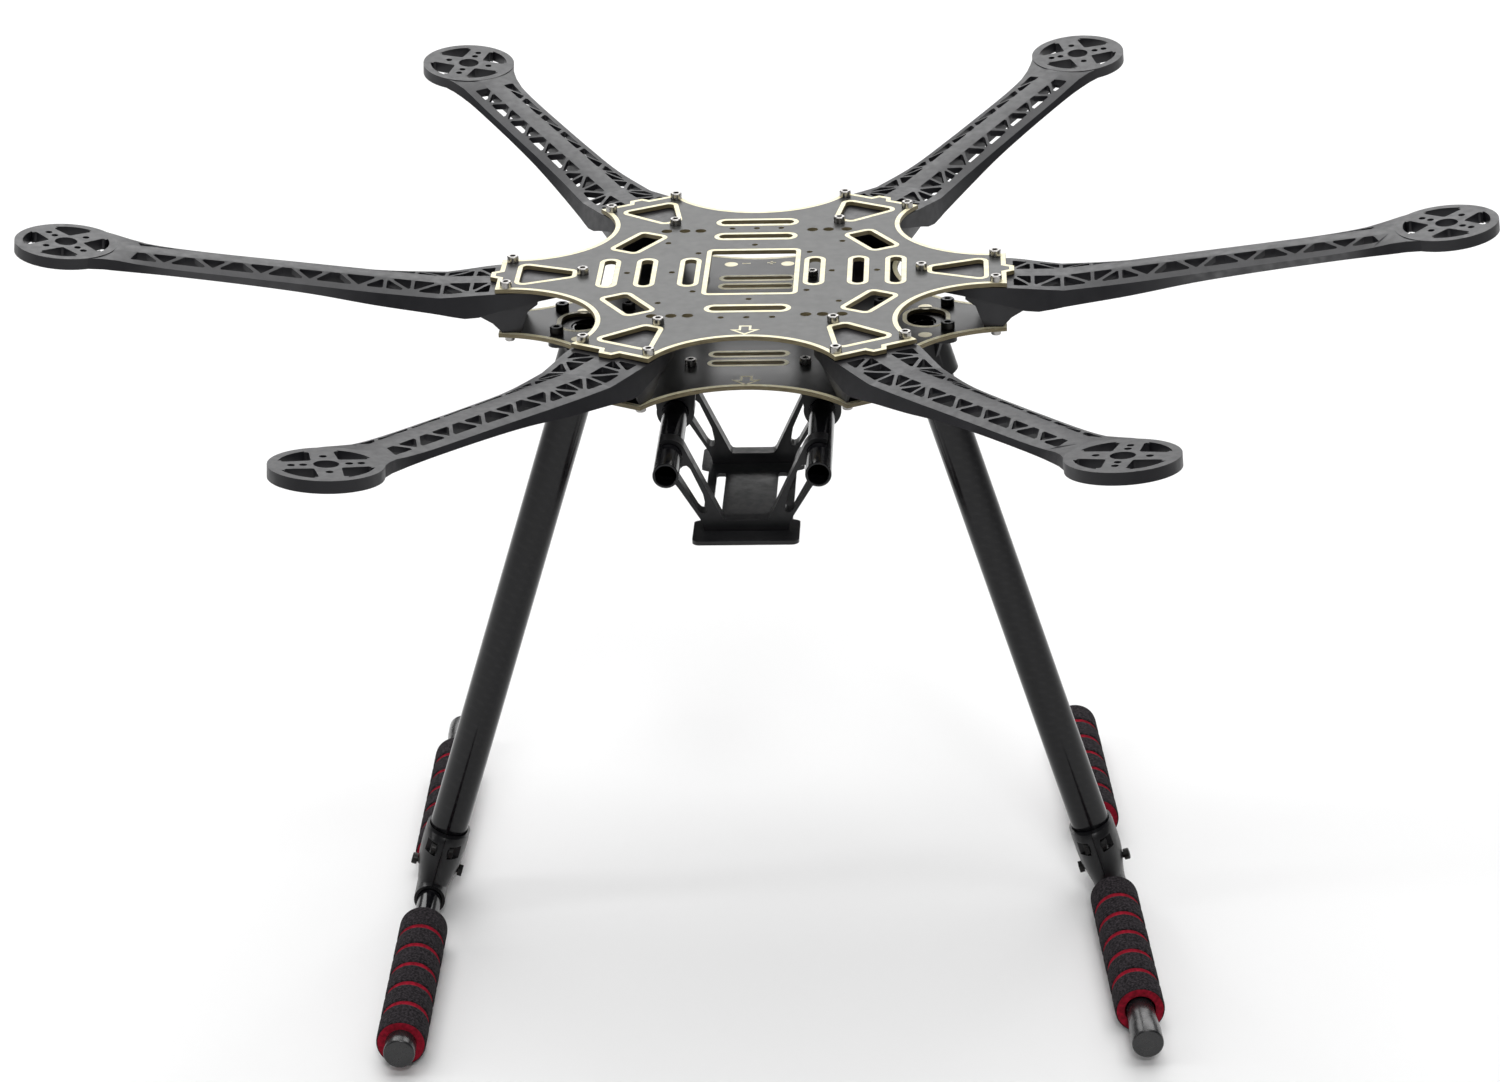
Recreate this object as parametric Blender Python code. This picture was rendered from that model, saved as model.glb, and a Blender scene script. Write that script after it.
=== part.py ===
"""Frame of a 550 mm hexacopter: six truss arms between two plates, on a tall two-skid landing gear.

Units are metres, +Z is up and the floor is z = 0. The frame's centre is on the Z axis and its front
is towards -Y. The left side is -X. The arms rise towards their motor hubs, the two legs lean outwards,
and a battery tray slides on the two rails under the bottom plate.
"""
import math

import bmesh
import bpy
from mathutils import Matrix, Vector

# ---------------------------------------------------------------- driving dimensions
GAP = 0.0003                     # clearance between neighbouring pieces

HUB_RADIUS_FROM_CENTRE = 0.275   # half of the 550 mm wheelbase
HUB_HEIGHT = 0.300               # top of a hub's centre above the floor
HUB_RADIUS = 0.0205
HUB_THICKNESS = 0.0046
HUB_LIP = 0.0001                 # how far the hub's disc stands above the arm that runs into it
ARM_BEND = 0.124                 # radius at which the arm starts to rise
ARM_ANGLES = {
    "arm_right": 0, "arm_rear_right": 60, "arm_rear_left": 120,
    "arm_left": 180, "arm_front_left": 240, "arm_front_right": 300,
}

PLATE_THICKNESS = 0.0016
TOP_PLATE_TOP = 0.2834
BOTTOM_PLATE_TOP = 0.2630
PLATE_END = 0.1015               # radius of a plate's straight edge across an arm
PLATE_BAY = 0.0737               # radius of the deepest point of the bay between two arms
TOP_PLATE_HALF_WIDTH = 0.0178
BOTTOM_PLATE_HALF_WIDTH = 0.0130
TAB_LENGTH = 0.0032
TAB_HALF_WIDTH = 0.0028

ARM_SCREWS = ((0.0972, -0.0151), (0.0972, 0.0151), (0.0677, 0.0))
SCREW_RADIUS = 0.00125
SCREW_HEAD_RADIUS = 0.00235
SCREW_HEAD_HEIGHT = 0.0026
SCREW_LENGTH = 0.0075

LEG_TOP_X = 0.0645               # leg axis at the underside of the bottom plate
LEG_RADIUS = 0.008
TUBE_WALL = 0.001
SKID_X = 0.144                   # crossing of a leg's axis and its skid's axis
SKID_HEIGHT = 0.010
SKID_RADIUS = 0.005
SKID_HALF_LENGTH = 0.1445
SKID_TURN = {"left": 1.0, "right": 4.0}   # degrees, seen from above, about the leg's foot
SKID_SHIFT = {"left": 0.0, "right": 0.0055}
SEAT_HALF = 0.0172
SEAT_FLANGE = 0.003
SEAT_SOCKET_RADIUS = 0.0108
SEAT_SOCKET_LENGTH = 0.024
TEE_SKID_RADIUS = 0.0066
TEE_SKID_HALF_LENGTH = 0.0190
TEE_BOLT_RADIUS = 0.0013
TEE_BOLT_HEAD_RADIUS = 0.0024
# The body of a clamp along its leg: height above the skid's axis, half width and half length.
TEE_SECTIONS = (
    (0.0005, 0.0068, 0.0185), (0.0035, 0.0074, 0.0174), (0.0075, 0.0084, 0.0158), (0.0120, 0.0092, 0.0145),
    (0.0170, 0.0094, 0.0138), (0.0240, 0.0094, 0.0134), (0.0265, 0.0092, 0.0118),
)
# Clamp bolts: place along the skid, height up the leg, and half of the length between head and nut.
TEE_BOLTS = {
    "front": (-0.0115, 0.0205, 0.0026),
    "rear": (0.0115, 0.0205, 0.0026),
    "lower": (0.0, 0.0072, 0.0088),
}
FOAM_RADIUS = 0.010
FOAM_BORE = 0.0066
FOAM_LENGTH = 0.095
FOAM_START = {
    "foam_front_left": -0.1383, "foam_rear_left": 0.0215,
    "foam_front_right": -0.1147, "foam_rear_right": 0.0507,
}
CAP_RADIUS = 0.0063
CAP_LENGTH = 0.028

RAIL_X = 0.0288
RAIL_HEIGHT = 0.245
RAIL_RADIUS = 0.005
RAIL_HALF_LENGTH = 0.120
CLIP_Y = 0.0504
CLIP_DEPTH = 0.009
CLIP_RING_RADIUS = 0.0074
CLIP_HALF_WIDTH = 0.0088

HANGER_FRONTS = {"tray_hanger_front": -0.1000, "tray_hanger_rear": -0.0320}
HANGER_DEPTH = 0.0065
HOOK_RADIUS = 0.0067             # outside of the open hooks that slide on the rails
HOOK_OPENING = 60                # degrees either side of straight out where a hook is open
FOOT_HALF_WIDTH = 0.0162
BAR_TOP = 0.2180
PLATFORM_TOP = 0.2137
PLATFORM_THICKNESS = 0.0016
PLATFORM_HALF_WIDTH = 0.0175
FLANGE_HALF_WIDTH = 0.0205
FLANGE_REACH = 0.0103            # how far the platform's wide ends stand out beyond the hangers
FLANGE_DEPTH = 0.0204
STRAP_SLOT_X = 0.0122
STRAP_SLOT_WIDTH = 0.0036
STRAP_SLOT_LENGTH = 0.0415

# ---------------------------------------------------------------- values that follow from them
TOP_PLATE_BOTTOM = TOP_PLATE_TOP - PLATE_THICKNESS
BOTTOM_PLATE_BOTTOM = BOTTOM_PLATE_TOP - PLATE_THICKNESS
ARM_ROOT_TOP = TOP_PLATE_BOTTOM - GAP
LEG_LEAN = math.atan2(SKID_X - LEG_TOP_X, BOTTOM_PLATE_BOTTOM - SKID_HEIGHT)
LEG_LENGTH = (BOTTOM_PLATE_BOTTOM - SKID_HEIGHT) / math.cos(LEG_LEAN)
LEG_TUBE_START = 0.0105
LEG_TUBE_END = LEG_LENGTH - 0.0030


# ---------------------------------------------------------------- materials
def material(name, colour, roughness, metallic=0.0):
    """A Principled material with one base colour."""
    made = bpy.data.materials.new(name)
    made.use_nodes = True
    shader = made.node_tree.nodes["Principled BSDF"]
    shader.inputs["Base Color"].default_value = (*colour, 1.0)
    shader.inputs["Roughness"].default_value = roughness
    shader.inputs["Metallic"].default_value = metallic
    return made


def make_materials():
    return {
        "plate": material("plate_laminate", (0.16, 0.16, 0.165), 0.45),
        "board": material("bottom_laminate", (0.02, 0.02, 0.022), 0.25),
        "nylon": material("arm_nylon", (0.05, 0.05, 0.055), 0.45),
        "plastic": material("fitting_plastic", (0.015, 0.015, 0.018), 0.5),
        "carbon": material("carbon_tube", (0.02, 0.02, 0.022), 0.2),
        "foam": material("foam_sleeve", (0.03, 0.028, 0.028), 0.9),
        "rubber": material("cap_rubber", (0.03, 0.03, 0.03), 0.4),
        "steel": material("screw_steel", (0.6, 0.6, 0.6), 0.25, 1.0),
    }


# ---------------------------------------------------------------- mesh helpers
def add_object(name, mesh, slot, matrix=None):
    """Put a mesh into the scene as the named sub-part."""
    mesh.materials.clear()
    mesh.materials.append(slot)
    made = bpy.data.objects.new(name, mesh)
    if matrix is not None:
        made.matrix_world = matrix
    bpy.context.scene.collection.objects.link(made)
    return made


def smooth(mesh, degrees=35):
    """Shade smooth, with edges sharper than the given angle kept sharp."""
    mesh.shade_smooth()
    mesh.set_sharp_from_angle(angle=math.radians(degrees))


def to_mesh(name, bm):
    bmesh.ops.recalc_face_normals(bm, faces=bm.faces)
    mesh = bpy.data.meshes.new(name)
    bm.to_mesh(mesh)
    bm.free()
    return mesh


def circle(x, y, radius, count, start=0.0):
    """Points of a circle, as (x, y) pairs."""
    step = 2 * math.pi / count
    return [(x + radius * math.cos(start + step * k), y + radius * math.sin(start + step * k))
            for k in range(count)]


def arc(x, y, radius, first, last, count):
    """Points of an arc from one angle to another, in degrees."""
    angles = [math.radians(first + (last - first) * k / (count - 1)) for k in range(count)]
    return [(x + radius * math.cos(a), y + radius * math.sin(a)) for a in angles]


def slot_outline(x, y, length, width, turn=0.0, corner=None, count=3):
    """A rectangle with round corners, turned by the given degrees."""
    radius = width / 2 if corner is None else corner
    half_x = length / 2 - radius
    half_y = width / 2 - radius
    points = []
    for sx, sy, first in ((1, 1, 0), (-1, 1, 90), (-1, -1, 180), (1, -1, 270)):
        points += arc(sx * half_x, sy * half_y, radius, first, first + 90, count)
    return turned(points, turn, x, y)


def turned(points, degrees, x=0.0, y=0.0):
    """Turn points about the origin, then move them."""
    c = math.cos(math.radians(degrees))
    s = math.sin(math.radians(degrees))
    return [(x + c * px - s * py, y + s * px + c * py) for px, py in points]


def rounded(points, radius, count=3):
    """A convex outline with each corner replaced by a short arc."""
    result = []
    total = len(points)
    for k in range(total):
        before = Vector(points[k - 1])
        corner = Vector(points[k])
        after = Vector(points[(k + 1) % total])
        back = (before - corner).normalized()
        ahead = (after - corner).normalized()
        half = back.angle(ahead) / 2
        reach = radius / math.tan(half)
        centre = corner + (back + ahead).normalized() * (radius / math.sin(half))
        first = corner + back * reach - centre
        last = corner + ahead * reach - centre
        for step in range(count):
            share = step / (count - 1)
            spoke = first.lerp(last, share).normalized() * radius
            result.append(tuple(centre + spoke))
    return result


def extruded(outlines, low, high):
    """A flat shape between two heights; the first outline is the outside, the others are holes."""
    curve = bpy.data.curves.new("outline", "CURVE")
    curve.dimensions = "2D"
    curve.fill_mode = "BOTH"
    curve.extrude = (high - low) / 2
    for outline in outlines:
        spline = curve.splines.new("POLY")
        spline.points.add(len(outline) - 1)
        for point, (x, y) in zip(spline.points, outline):
            point.co = (x, y, 0.0, 1.0)
        spline.use_cyclic_u = True
    holder = bpy.data.objects.new("outline", curve)
    mesh = bpy.data.meshes.new_from_object(holder)
    bpy.data.objects.remove(holder)
    bm = bmesh.new()
    bm.from_mesh(mesh)
    bmesh.ops.remove_doubles(bm, verts=bm.verts, dist=1e-7)
    bmesh.ops.translate(bm, verts=bm.verts, vec=(0.0, 0.0, (high + low) / 2))
    return bm


def turned_solid(profile, count):
    """A solid of revolution about Z; its profile starts and ends on the axis."""
    bm = bmesh.new()
    rings = []
    for radius, height in profile:
        if radius == 0.0:
            rings.append([bm.verts.new((0.0, 0.0, height))])
        else:
            rings.append([bm.verts.new((x, y, height)) for x, y in circle(0, 0, radius, count)])
    for ring, after in zip(rings, rings[1:]):
        for k in range(count):
            following = (k + 1) % count
            if len(ring) == 1:
                bm.faces.new((ring[0], after[following], after[k]))
            elif len(after) == 1:
                bm.faces.new((ring[k], ring[following], after[0]))
            else:
                bm.faces.new((ring[k], ring[following], after[following], after[k]))
    return bm


def turned_ring(profile, count):
    """A ring about Z whose section is a closed list of (radius, height) points off the axis."""
    bm = bmesh.new()
    rings = []
    for radius, height in profile:
        rings.append([bm.verts.new((x, y, height)) for x, y in circle(0, 0, radius, count)])
    for ring, after in zip(rings, rings[1:] + rings[:1]):
        for k in range(count):
            following = (k + 1) % count
            bm.faces.new((ring[k], ring[following], after[following], after[k]))
    return bm


def tube(radius, low, high, count):
    """An open tube along Z."""
    bore = radius - TUBE_WALL
    return turned_ring([(radius, low), (radius, high), (bore, high), (bore, low)], count)


def bolt_profile(radius, head_radius, head_height, length):
    """Half section of a cap screw whose head rests on height 0."""
    return [(0.0, head_height), (head_radius, head_height), (head_radius, 0.0),
            (radius, 0.0), (radius, -length), (0.0, -length)]


def loft(sections):
    """A solid through a row of closed sections that have equally many points."""
    bm = bmesh.new()
    rows = [[bm.verts.new(point) for point in section] for section in sections]
    count = len(rows[0])
    for row, after in zip(rows, rows[1:]):
        for k in range(count):
            bm.faces.new((row[k], row[(k + 1) % count], after[(k + 1) % count], after[k]))
    bm.faces.new(rows[0])
    bm.faces.new(list(reversed(rows[-1])))
    return bm


def box(low, high):
    """A block between two corners."""
    outline = ((low[0], low[1]), (high[0], low[1]), (high[0], high[1]), (low[0], high[1]))
    bottom = [(x, y, low[2]) for x, y in outline]
    top = [(x, y, high[2]) for x, y in outline]
    return loft([bottom, top])


def as_tool(bm):
    """A bmesh as an object that a Boolean can use."""
    tool = bpy.data.objects.new("tool", to_mesh("tool", bm))
    bpy.context.scene.collection.objects.link(tool)
    return tool


def combined(base, operation, *others):
    """The exact Boolean of a solid with others, as a new bmesh; the inputs are used up."""
    holder = as_tool(base)
    tools = [as_tool(other) for other in others]
    for tool in tools:
        step = holder.modifiers.new("cut", "BOOLEAN")
        step.operation = operation
        step.solver = "EXACT"
        step.object = tool
    graph = bpy.context.evaluated_depsgraph_get()
    mesh = bpy.data.meshes.new_from_object(holder.evaluated_get(graph))
    for used in (holder, *tools):
        bpy.data.objects.remove(used)
    bm = bmesh.new()
    bm.from_mesh(mesh)
    return bm


def placed(bm, matrix):
    bmesh.ops.transform(bm, matrix=matrix, verts=bm.verts)
    return bm


def joined(pieces):
    """Several separate solids in one bmesh, for use as one cutter."""
    bm = bmesh.new()
    for piece in pieces:
        mesh = to_mesh("piece", piece)
        bm.from_mesh(mesh)
    return bm


# ---------------------------------------------------------------- plates
def star_outline(half_width, tab):
    """A six-pointed plate: a straight end across each arm and a round bay between arms."""
    corner = Vector((PLATE_END, half_width))
    bisector = Vector((math.cos(math.radians(30)), math.sin(math.radians(30))))
    across = corner.dot(bisector)
    aside = math.sqrt(max(corner.length_squared - across * across, 0.0))
    sag = across - PLATE_BAY
    radius = (aside * aside + sag * sag) / (2 * sag)
    swing = math.degrees(math.asin(aside / radius))
    centre = bisector * (PLATE_BAY + radius)
    sector = []
    if tab:
        root = TAB_HALF_WIDTH + 0.0018
        sector += [(PLATE_END, -root), (PLATE_END + TAB_LENGTH, -TAB_HALF_WIDTH)]
        sector += [(PLATE_END + TAB_LENGTH, TAB_HALF_WIDTH), (PLATE_END, root)]
    sector += arc(centre.x, centre.y, radius, 210 + swing, 210 - swing, 9)
    outline = []
    for k in range(6):
        outline += turned(sector, 60 * k)
    return outline


def arm_screw_holes(radius):
    holes = []
    for angle in ARM_ANGLES.values():
        for along_arm, across in ARM_SCREWS:
            x, y = turned([(along_arm, across)], angle)[0]
            holes.append(circle(x, y, radius, 6))
    return holes


def arm_window():
    """The round-cornered wedge through the top plate over an arm's root."""
    corners = [(0.0720, -0.0030), (0.0925, -0.0112), (0.0925, 0.0112), (0.0720, 0.0030)]
    return rounded(corners, 0.0016, 2)


def make_top_plate(slots):
    outlines = [star_outline(TOP_PLATE_HALF_WIDTH, True)]
    outlines.append(slot_outline(0, 0, 0.034, 0.050, corner=0.0012, count=2))
    for y in (0.060, 0.0425, -0.0425):
        outlines.append(slot_outline(0, y, 0.030, 0.0048, corner=0.0018, count=2))
    for x in (0.025, 0.0425, 0.0575):
        for side in (-1, 1):
            outlines.append(slot_outline(side * x, 0, 0.0045, 0.030, corner=0.0018, count=2))
    for sx in (-1, 1):
        for sy in (-1, 1):
            outlines.append(slot_outline(sx * 0.0475, sy * 0.0362, 0.0215, 0.0100,
                                         turn=-60 * sx * sy, corner=0.0015, count=2))
            for x in (0.0230, 0.0295, 0.0370):
                outlines.append(circle(sx * x, sy * 0.0500, 0.00225, 6))
            for x, y in ((0.0355, 0.0353), (0.0225, 0.0225), (0.0100, 0.0525)):
                outlines.append(circle(sx * x, sy * y, 0.00125, 6))
        for x, y in ((0.0320, 0.0), (0.0500, 0.0), (0.0, 0.0320), (0.0, 0.0525)):
            outlines.append(circle(sx * x, sx * y, 0.00125, 6))
    for angle in ARM_ANGLES.values():
        outlines.append(turned(arm_window(), angle))
    outlines += arm_screw_holes(SCREW_RADIUS + GAP)
    mesh = to_mesh("top_plate", extruded(outlines, TOP_PLATE_BOTTOM, TOP_PLATE_TOP))
    add_object("top_plate", mesh, slots["plate"])


def make_bottom_plate(slots):
    outlines = [star_outline(BOTTOM_PLATE_HALF_WIDTH, False)]
    for y in (-0.0488, -0.0390, 0.0390, 0.0488):
        outlines.append(slot_outline(0, y, 0.0285, 0.0036, corner=0.0014, count=2))
    for side in (-1, 1):
        outlines.append(slot_outline(side * 0.0695, 0, 0.0155, 0.0200, corner=0.0077, count=4))
    mesh = to_mesh("bottom_plate", extruded(outlines, BOTTOM_PLATE_BOTTOM, BOTTOM_PLATE_TOP))
    add_object("bottom_plate", mesh, slots["board"])


# ---------------------------------------------------------------- arms
# Stations along an arm: radius, half width, drop of the shoulders below the spine, underside height
# below the hub's top, and half width of the underside.
ARM_STATIONS = (
    (0.0620, 0.0060, 0.0000, 0.0215, 0.0060),
    (0.0700, 0.0100, 0.0000, 0.0215, 0.0100),
    (0.0840, 0.0174, 0.0000, 0.0219, 0.0174),
    (0.0930, 0.0177, 0.0000, 0.0240, 0.0178),
    (0.1035, 0.0178, 0.0002, 0.0266, 0.0184),
    (0.1085, 0.0174, 0.0006, 0.0281, 0.0186),
    (0.1140, 0.0168, 0.0012, 0.0286, 0.0184),
    (0.1250, 0.0157, 0.0022, 0.0270, 0.0172),
    (0.1500, 0.0133, 0.0034, 0.0236, 0.0148),
    (0.1750, 0.0125, 0.0034, 0.0188, 0.0140),
    (0.2000, 0.0122, 0.0032, 0.0149, 0.0136),
    (0.2300, 0.0121, 0.0028, 0.0108, 0.0134),
    (0.2450, 0.0123, 0.0020, 0.0090, 0.0134),
    (0.2520, 0.0131, 0.0010, 0.0080, 0.0140),
    (0.2580, 0.0147, 0.0003, 0.0068, 0.0152),
    (0.2640, 0.0168, 0.0000, 0.0059, 0.0168),
)
# Stations of the foot block under an arm's root: radius, half width at its top, underside height below
# the hub's top, and half width of the underside.
FOOT_STATIONS = (
    (0.0850, 0.0160, 0.0240, 0.0155),
    (0.0890, 0.0160, 0.0270, 0.0150),
    (0.0925, 0.0160, 0.0367, 0.0125),
    (0.1000, 0.0160, 0.0367, 0.0125),
    (0.1035, 0.0158, 0.0325, 0.0135),
    (0.1080, 0.0154, 0.0294, 0.0145),
    (0.1135, 0.0146, 0.0271, 0.0144),
)
FOOT_TOP = 0.0200
SPINE_HALF_WIDTH = 0.0038
WEB_HALF_WIDTH = 0.0030
ARM_WALL = 0.0018
CAVITY_START = 0.0950
CAVITY_END = 0.2490
TRUSS_RIB = 0.0014
ROOT_CELLS = (0.1035, 0.1118, 0.1235, 0.1355, 0.1465)
ZIGZAG_START = 0.1570
TRUSS_PITCH = 0.0194
TRUSS_BAYS = 5
TRUSS_PEAK = 0.0021              # half width of a large window where it meets the spine


def station_value(stations, radius, column):
    """A value from a table of stations at any radius, by straight interpolation."""
    for row, after in zip(stations, stations[1:]):
        if radius <= after[0]:
            share = (radius - row[0]) / (after[0] - row[0])
            return row[column] + share * (after[column] - row[column])
    return stations[-1][column]


def arm_value(radius, column):
    return station_value(ARM_STATIONS, radius, column)


def spine_height(radius):
    """Height of the arm's spine: level under the plate, then rising to the hub."""
    if radius <= ARM_BEND:
        return ARM_ROOT_TOP
    share = (radius - ARM_BEND) / (HUB_RADIUS_FROM_CENTRE - ARM_BEND)
    return ARM_ROOT_TOP + share * (HUB_HEIGHT - HUB_LIP - ARM_ROOT_TOP)


def arm_section(radius):
    """Outer section of an arm's beam at a radius, from the right underside over the spine to the left."""
    half = arm_value(radius, 1)
    spine = spine_height(radius)
    shoulder = spine - arm_value(radius, 2)
    under = HUB_HEIGHT - arm_value(radius, 3)
    crown = min(SPINE_HALF_WIDTH, half * 0.6)
    right = [(arm_value(radius, 4), under), (half, shoulder), (crown, spine)]
    left = [(-y, z) for y, z in reversed(right)]
    return [(radius, y, z) for y, z in right + left]


def foot_section(radius):
    """Section of the foot block: straight sides that slant inwards below the knee."""
    half = station_value(FOOT_STATIONS, radius, 1)
    under = HUB_HEIGHT - station_value(FOOT_STATIONS, radius, 2)
    knee = max(under + 0.0002, HUB_HEIGHT - 0.0262)
    bottom = station_value(FOOT_STATIONS, radius, 3)
    right = [(bottom, under), (half, knee), (half, HUB_HEIGHT - FOOT_TOP)]
    left = [(-y, z) for y, z in reversed(right)]
    return [(radius, y, z) for y, z in right + left]


def cavity_section(radius, side):
    """Section of the hollow on one side of an arm's central web, open to below."""
    roof = spine_height(radius) - 0.0022
    shoulder = spine_height(radius) - arm_value(radius, 2) - 0.0020
    half = arm_value(radius, 1) - ARM_WALL
    bottom = knee = arm_value(radius, 4) - ARM_WALL
    under = HUB_HEIGHT - arm_value(radius, 3)
    knee_height = under + 0.0001
    if radius <= FOOT_STATIONS[-1][0]:
        half = knee = min(half, station_value(FOOT_STATIONS, radius, 1) - ARM_WALL)
        bottom = min(half - 0.0001, station_value(FOOT_STATIONS, radius, 3) - ARM_WALL)
        under = HUB_HEIGHT - station_value(FOOT_STATIONS, radius, 2)
        knee_height = max(under + 0.0001, HUB_HEIGHT - 0.0255)
    points = [(WEB_HALF_WIDTH, under - 0.004), (bottom, under - 0.004), (knee, knee_height)]
    points += [(half, shoulder), (WEB_HALF_WIDTH, roof)]
    return [(radius, side * y, z) for y, z in points]


def inset(points, distance):
    """A convex outline, counter-clockwise, with every side moved inwards."""
    total = len(points)
    lines = []
    for k in range(total):
        start = Vector(points[k])
        end = Vector(points[(k + 1) % total])
        side = (end - start).normalized()
        inwards = Vector((-side.y, side.x))
        lines.append((start + inwards * distance, side))
    result = []
    for k in range(total):
        base, side = lines[k - 1]
        other, turn = lines[k]
        reach = (other - base).cross(turn) / side.cross(turn)
        result.append(tuple(base + side * reach))
    return result


def truss_windows():
    """Outlines of the triangular windows on one side of an arm."""
    def inner(u):
        return (u, SPINE_HALF_WIDTH - 0.0005)

    def outer(u):
        return (u, arm_value(u, 1) - 0.0026)

    windows = []
    for k, (start, end) in enumerate(zip(ROOT_CELLS, ROOT_CELLS[1:])):
        if k % 2:
            windows.append([inner(start), inner(end), outer(start)])
            windows.append([inner(end), outer(end), outer(start)])
        else:
            windows.append([inner(start), inner(end), outer(end)])
            windows.append([inner(start), outer(end), outer(start)])
    last = ROOT_CELLS[-1]
    windows.append([inner(last), outer(ZIGZAG_START), outer(last)])
    for k in range(TRUSS_BAYS):
        left = ZIGZAG_START + TRUSS_PITCH * k
        right = CAVITY_END if k == TRUSS_BAYS - 1 else left + TRUSS_PITCH
        peak = left + TRUSS_PITCH / 2
        before = last + 0.001 if k == 0 else peak - TRUSS_PITCH + TRUSS_PEAK
        windows.append([inner(before), inner(peak - TRUSS_PEAK), outer(left)])
        windows.append([inner(peak - TRUSS_PEAK), inner(peak + TRUSS_PEAK), outer(right), outer(left)])
    return [inset(window, TRUSS_RIB / 2) for window in windows]


def hub_outlines():
    """Motor hub seen along its axis: rim, four windows, centre hole and screw holes."""
    outlines = [circle(0, 0, HUB_RADIUS, 28)]
    spoke = 0.0042
    reach = 0.0172
    half = math.degrees(math.asin(spoke / reach))
    for k in range(4):
        window = [(spoke * math.sqrt(2) + 0.0008, 0.0)] + arc(0, 0, reach, -45 + half, 45 - half, 4)
        outlines.append(turned(window, 90 * k))
    outlines.append(circle(0, 0, 0.0045, 10))
    single, pair = (0.0095,), (0.0080, 0.0122)
    for turn, radii in ((45, single), (135, pair), (225, single), (315, pair)):
        for radius in radii:
            x, y = turned([(radius, 0.0)], turn)[0]
            outlines.append(circle(x, y, 0.0014, 5))
    return outlines


def arm_mesh():
    """One arm along +X, in the frame's own heights."""
    beam = loft([arm_section(row[0]) for row in ARM_STATIONS])
    foot = loft([foot_section(row[0]) for row in FOOT_STATIONS])
    radii = sorted({row[0] for row in (*ARM_STATIONS, *FOOT_STATIONS) if CAVITY_START < row[0] < CAVITY_END})
    radii = [CAVITY_START, *radii, CAVITY_END]
    cavities = [loft([cavity_section(radius, side) for radius in radii]) for side in (-1, 1)]
    tilt = math.atan((HUB_HEIGHT - ARM_ROOT_TOP) / (HUB_RADIUS_FROM_CENTRE - ARM_BEND))
    to_hub = (Matrix.Translation((HUB_RADIUS_FROM_CENTRE, 0, HUB_HEIGHT))
              @ Matrix.Rotation(-tilt, 4, "Y"))
    cutters = []
    for side in (1, -1):
        for window in truss_windows():
            outline = [(u, side * v) for u, v in window]
            cutters.append(extruded([outline], HUB_HEIGHT - 0.0245, HUB_HEIGHT + 0.002))
    for along_arm, across in ARM_SCREWS:
        cutters.append(extruded([circle(along_arm, across, SCREW_RADIUS + GAP, 6)],
                                ARM_ROOT_TOP - 0.0085, ARM_ROOT_TOP + 0.001))
    hollow = combined(combined(beam, "UNION", foot), "DIFFERENCE", *cavities)
    rim = placed(extruded(hub_outlines()[:1], -HUB_THICKNESS, 0.0), to_hub)
    whole = combined(hollow, "UNION", rim)
    for outline in hub_outlines()[1:]:
        cutters.append(placed(extruded([outline], -HUB_THICKNESS - 0.004, 0.003), to_hub))
    return to_mesh("arm", combined(whole, "DIFFERENCE", joined(cutters)))


def make_arms(slots):
    mesh = arm_mesh()
    smooth(mesh, 25)
    for name, angle in ARM_ANGLES.items():
        add_object(name, mesh, slots["nylon"], Matrix.Rotation(math.radians(angle), 4, "Z"))


def make_arm_screws(slots):
    """A cap screw through the top plate into an arm, three for each arm."""
    profile = bolt_profile(SCREW_RADIUS, SCREW_HEAD_RADIUS, SCREW_HEAD_HEIGHT, SCREW_LENGTH)
    mesh = to_mesh("arm_screw", turned_solid(profile, 6))
    places = ("a", "b", "inner")
    for arm, angle in ARM_ANGLES.items():
        for place, (along_arm, across) in zip(places, ARM_SCREWS):
            x, y = turned([(along_arm, across)], angle)[0]
            name = arm.replace("arm_", "arm_screw_") + "_" + place
            add_object(name, mesh, slots["steel"], Matrix.Translation((x, y, TOP_PLATE_TOP + GAP)))


# ---------------------------------------------------------------- landing gear
def leg_frame(side):
    """Placement with its origin where leg and skid cross and +Z up along the leg's axis."""
    lean = -side * LEG_LEAN
    return Matrix.Translation((side * SKID_X, 0, SKID_HEIGHT)) @ Matrix.Rotation(lean, 4, "Y")


def skid_frame(side):
    """Placement of a skid: origin under the leg, +Y along the skid towards the rear."""
    turn = math.radians(SKID_TURN["left" if side < 0 else "right"])
    return Matrix.Translation((side * SKID_X, 0, SKID_HEIGHT)) @ Matrix.Rotation(turn, 4, "Z")


def make_leg_tube(side, word, slots):
    mesh = to_mesh("leg_tube_" + word, tube(LEG_RADIUS, LEG_TUBE_START, LEG_TUBE_END, 20))
    smooth(mesh)
    add_object("leg_tube_" + word, mesh, slots["carbon"], leg_frame(side))


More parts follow.
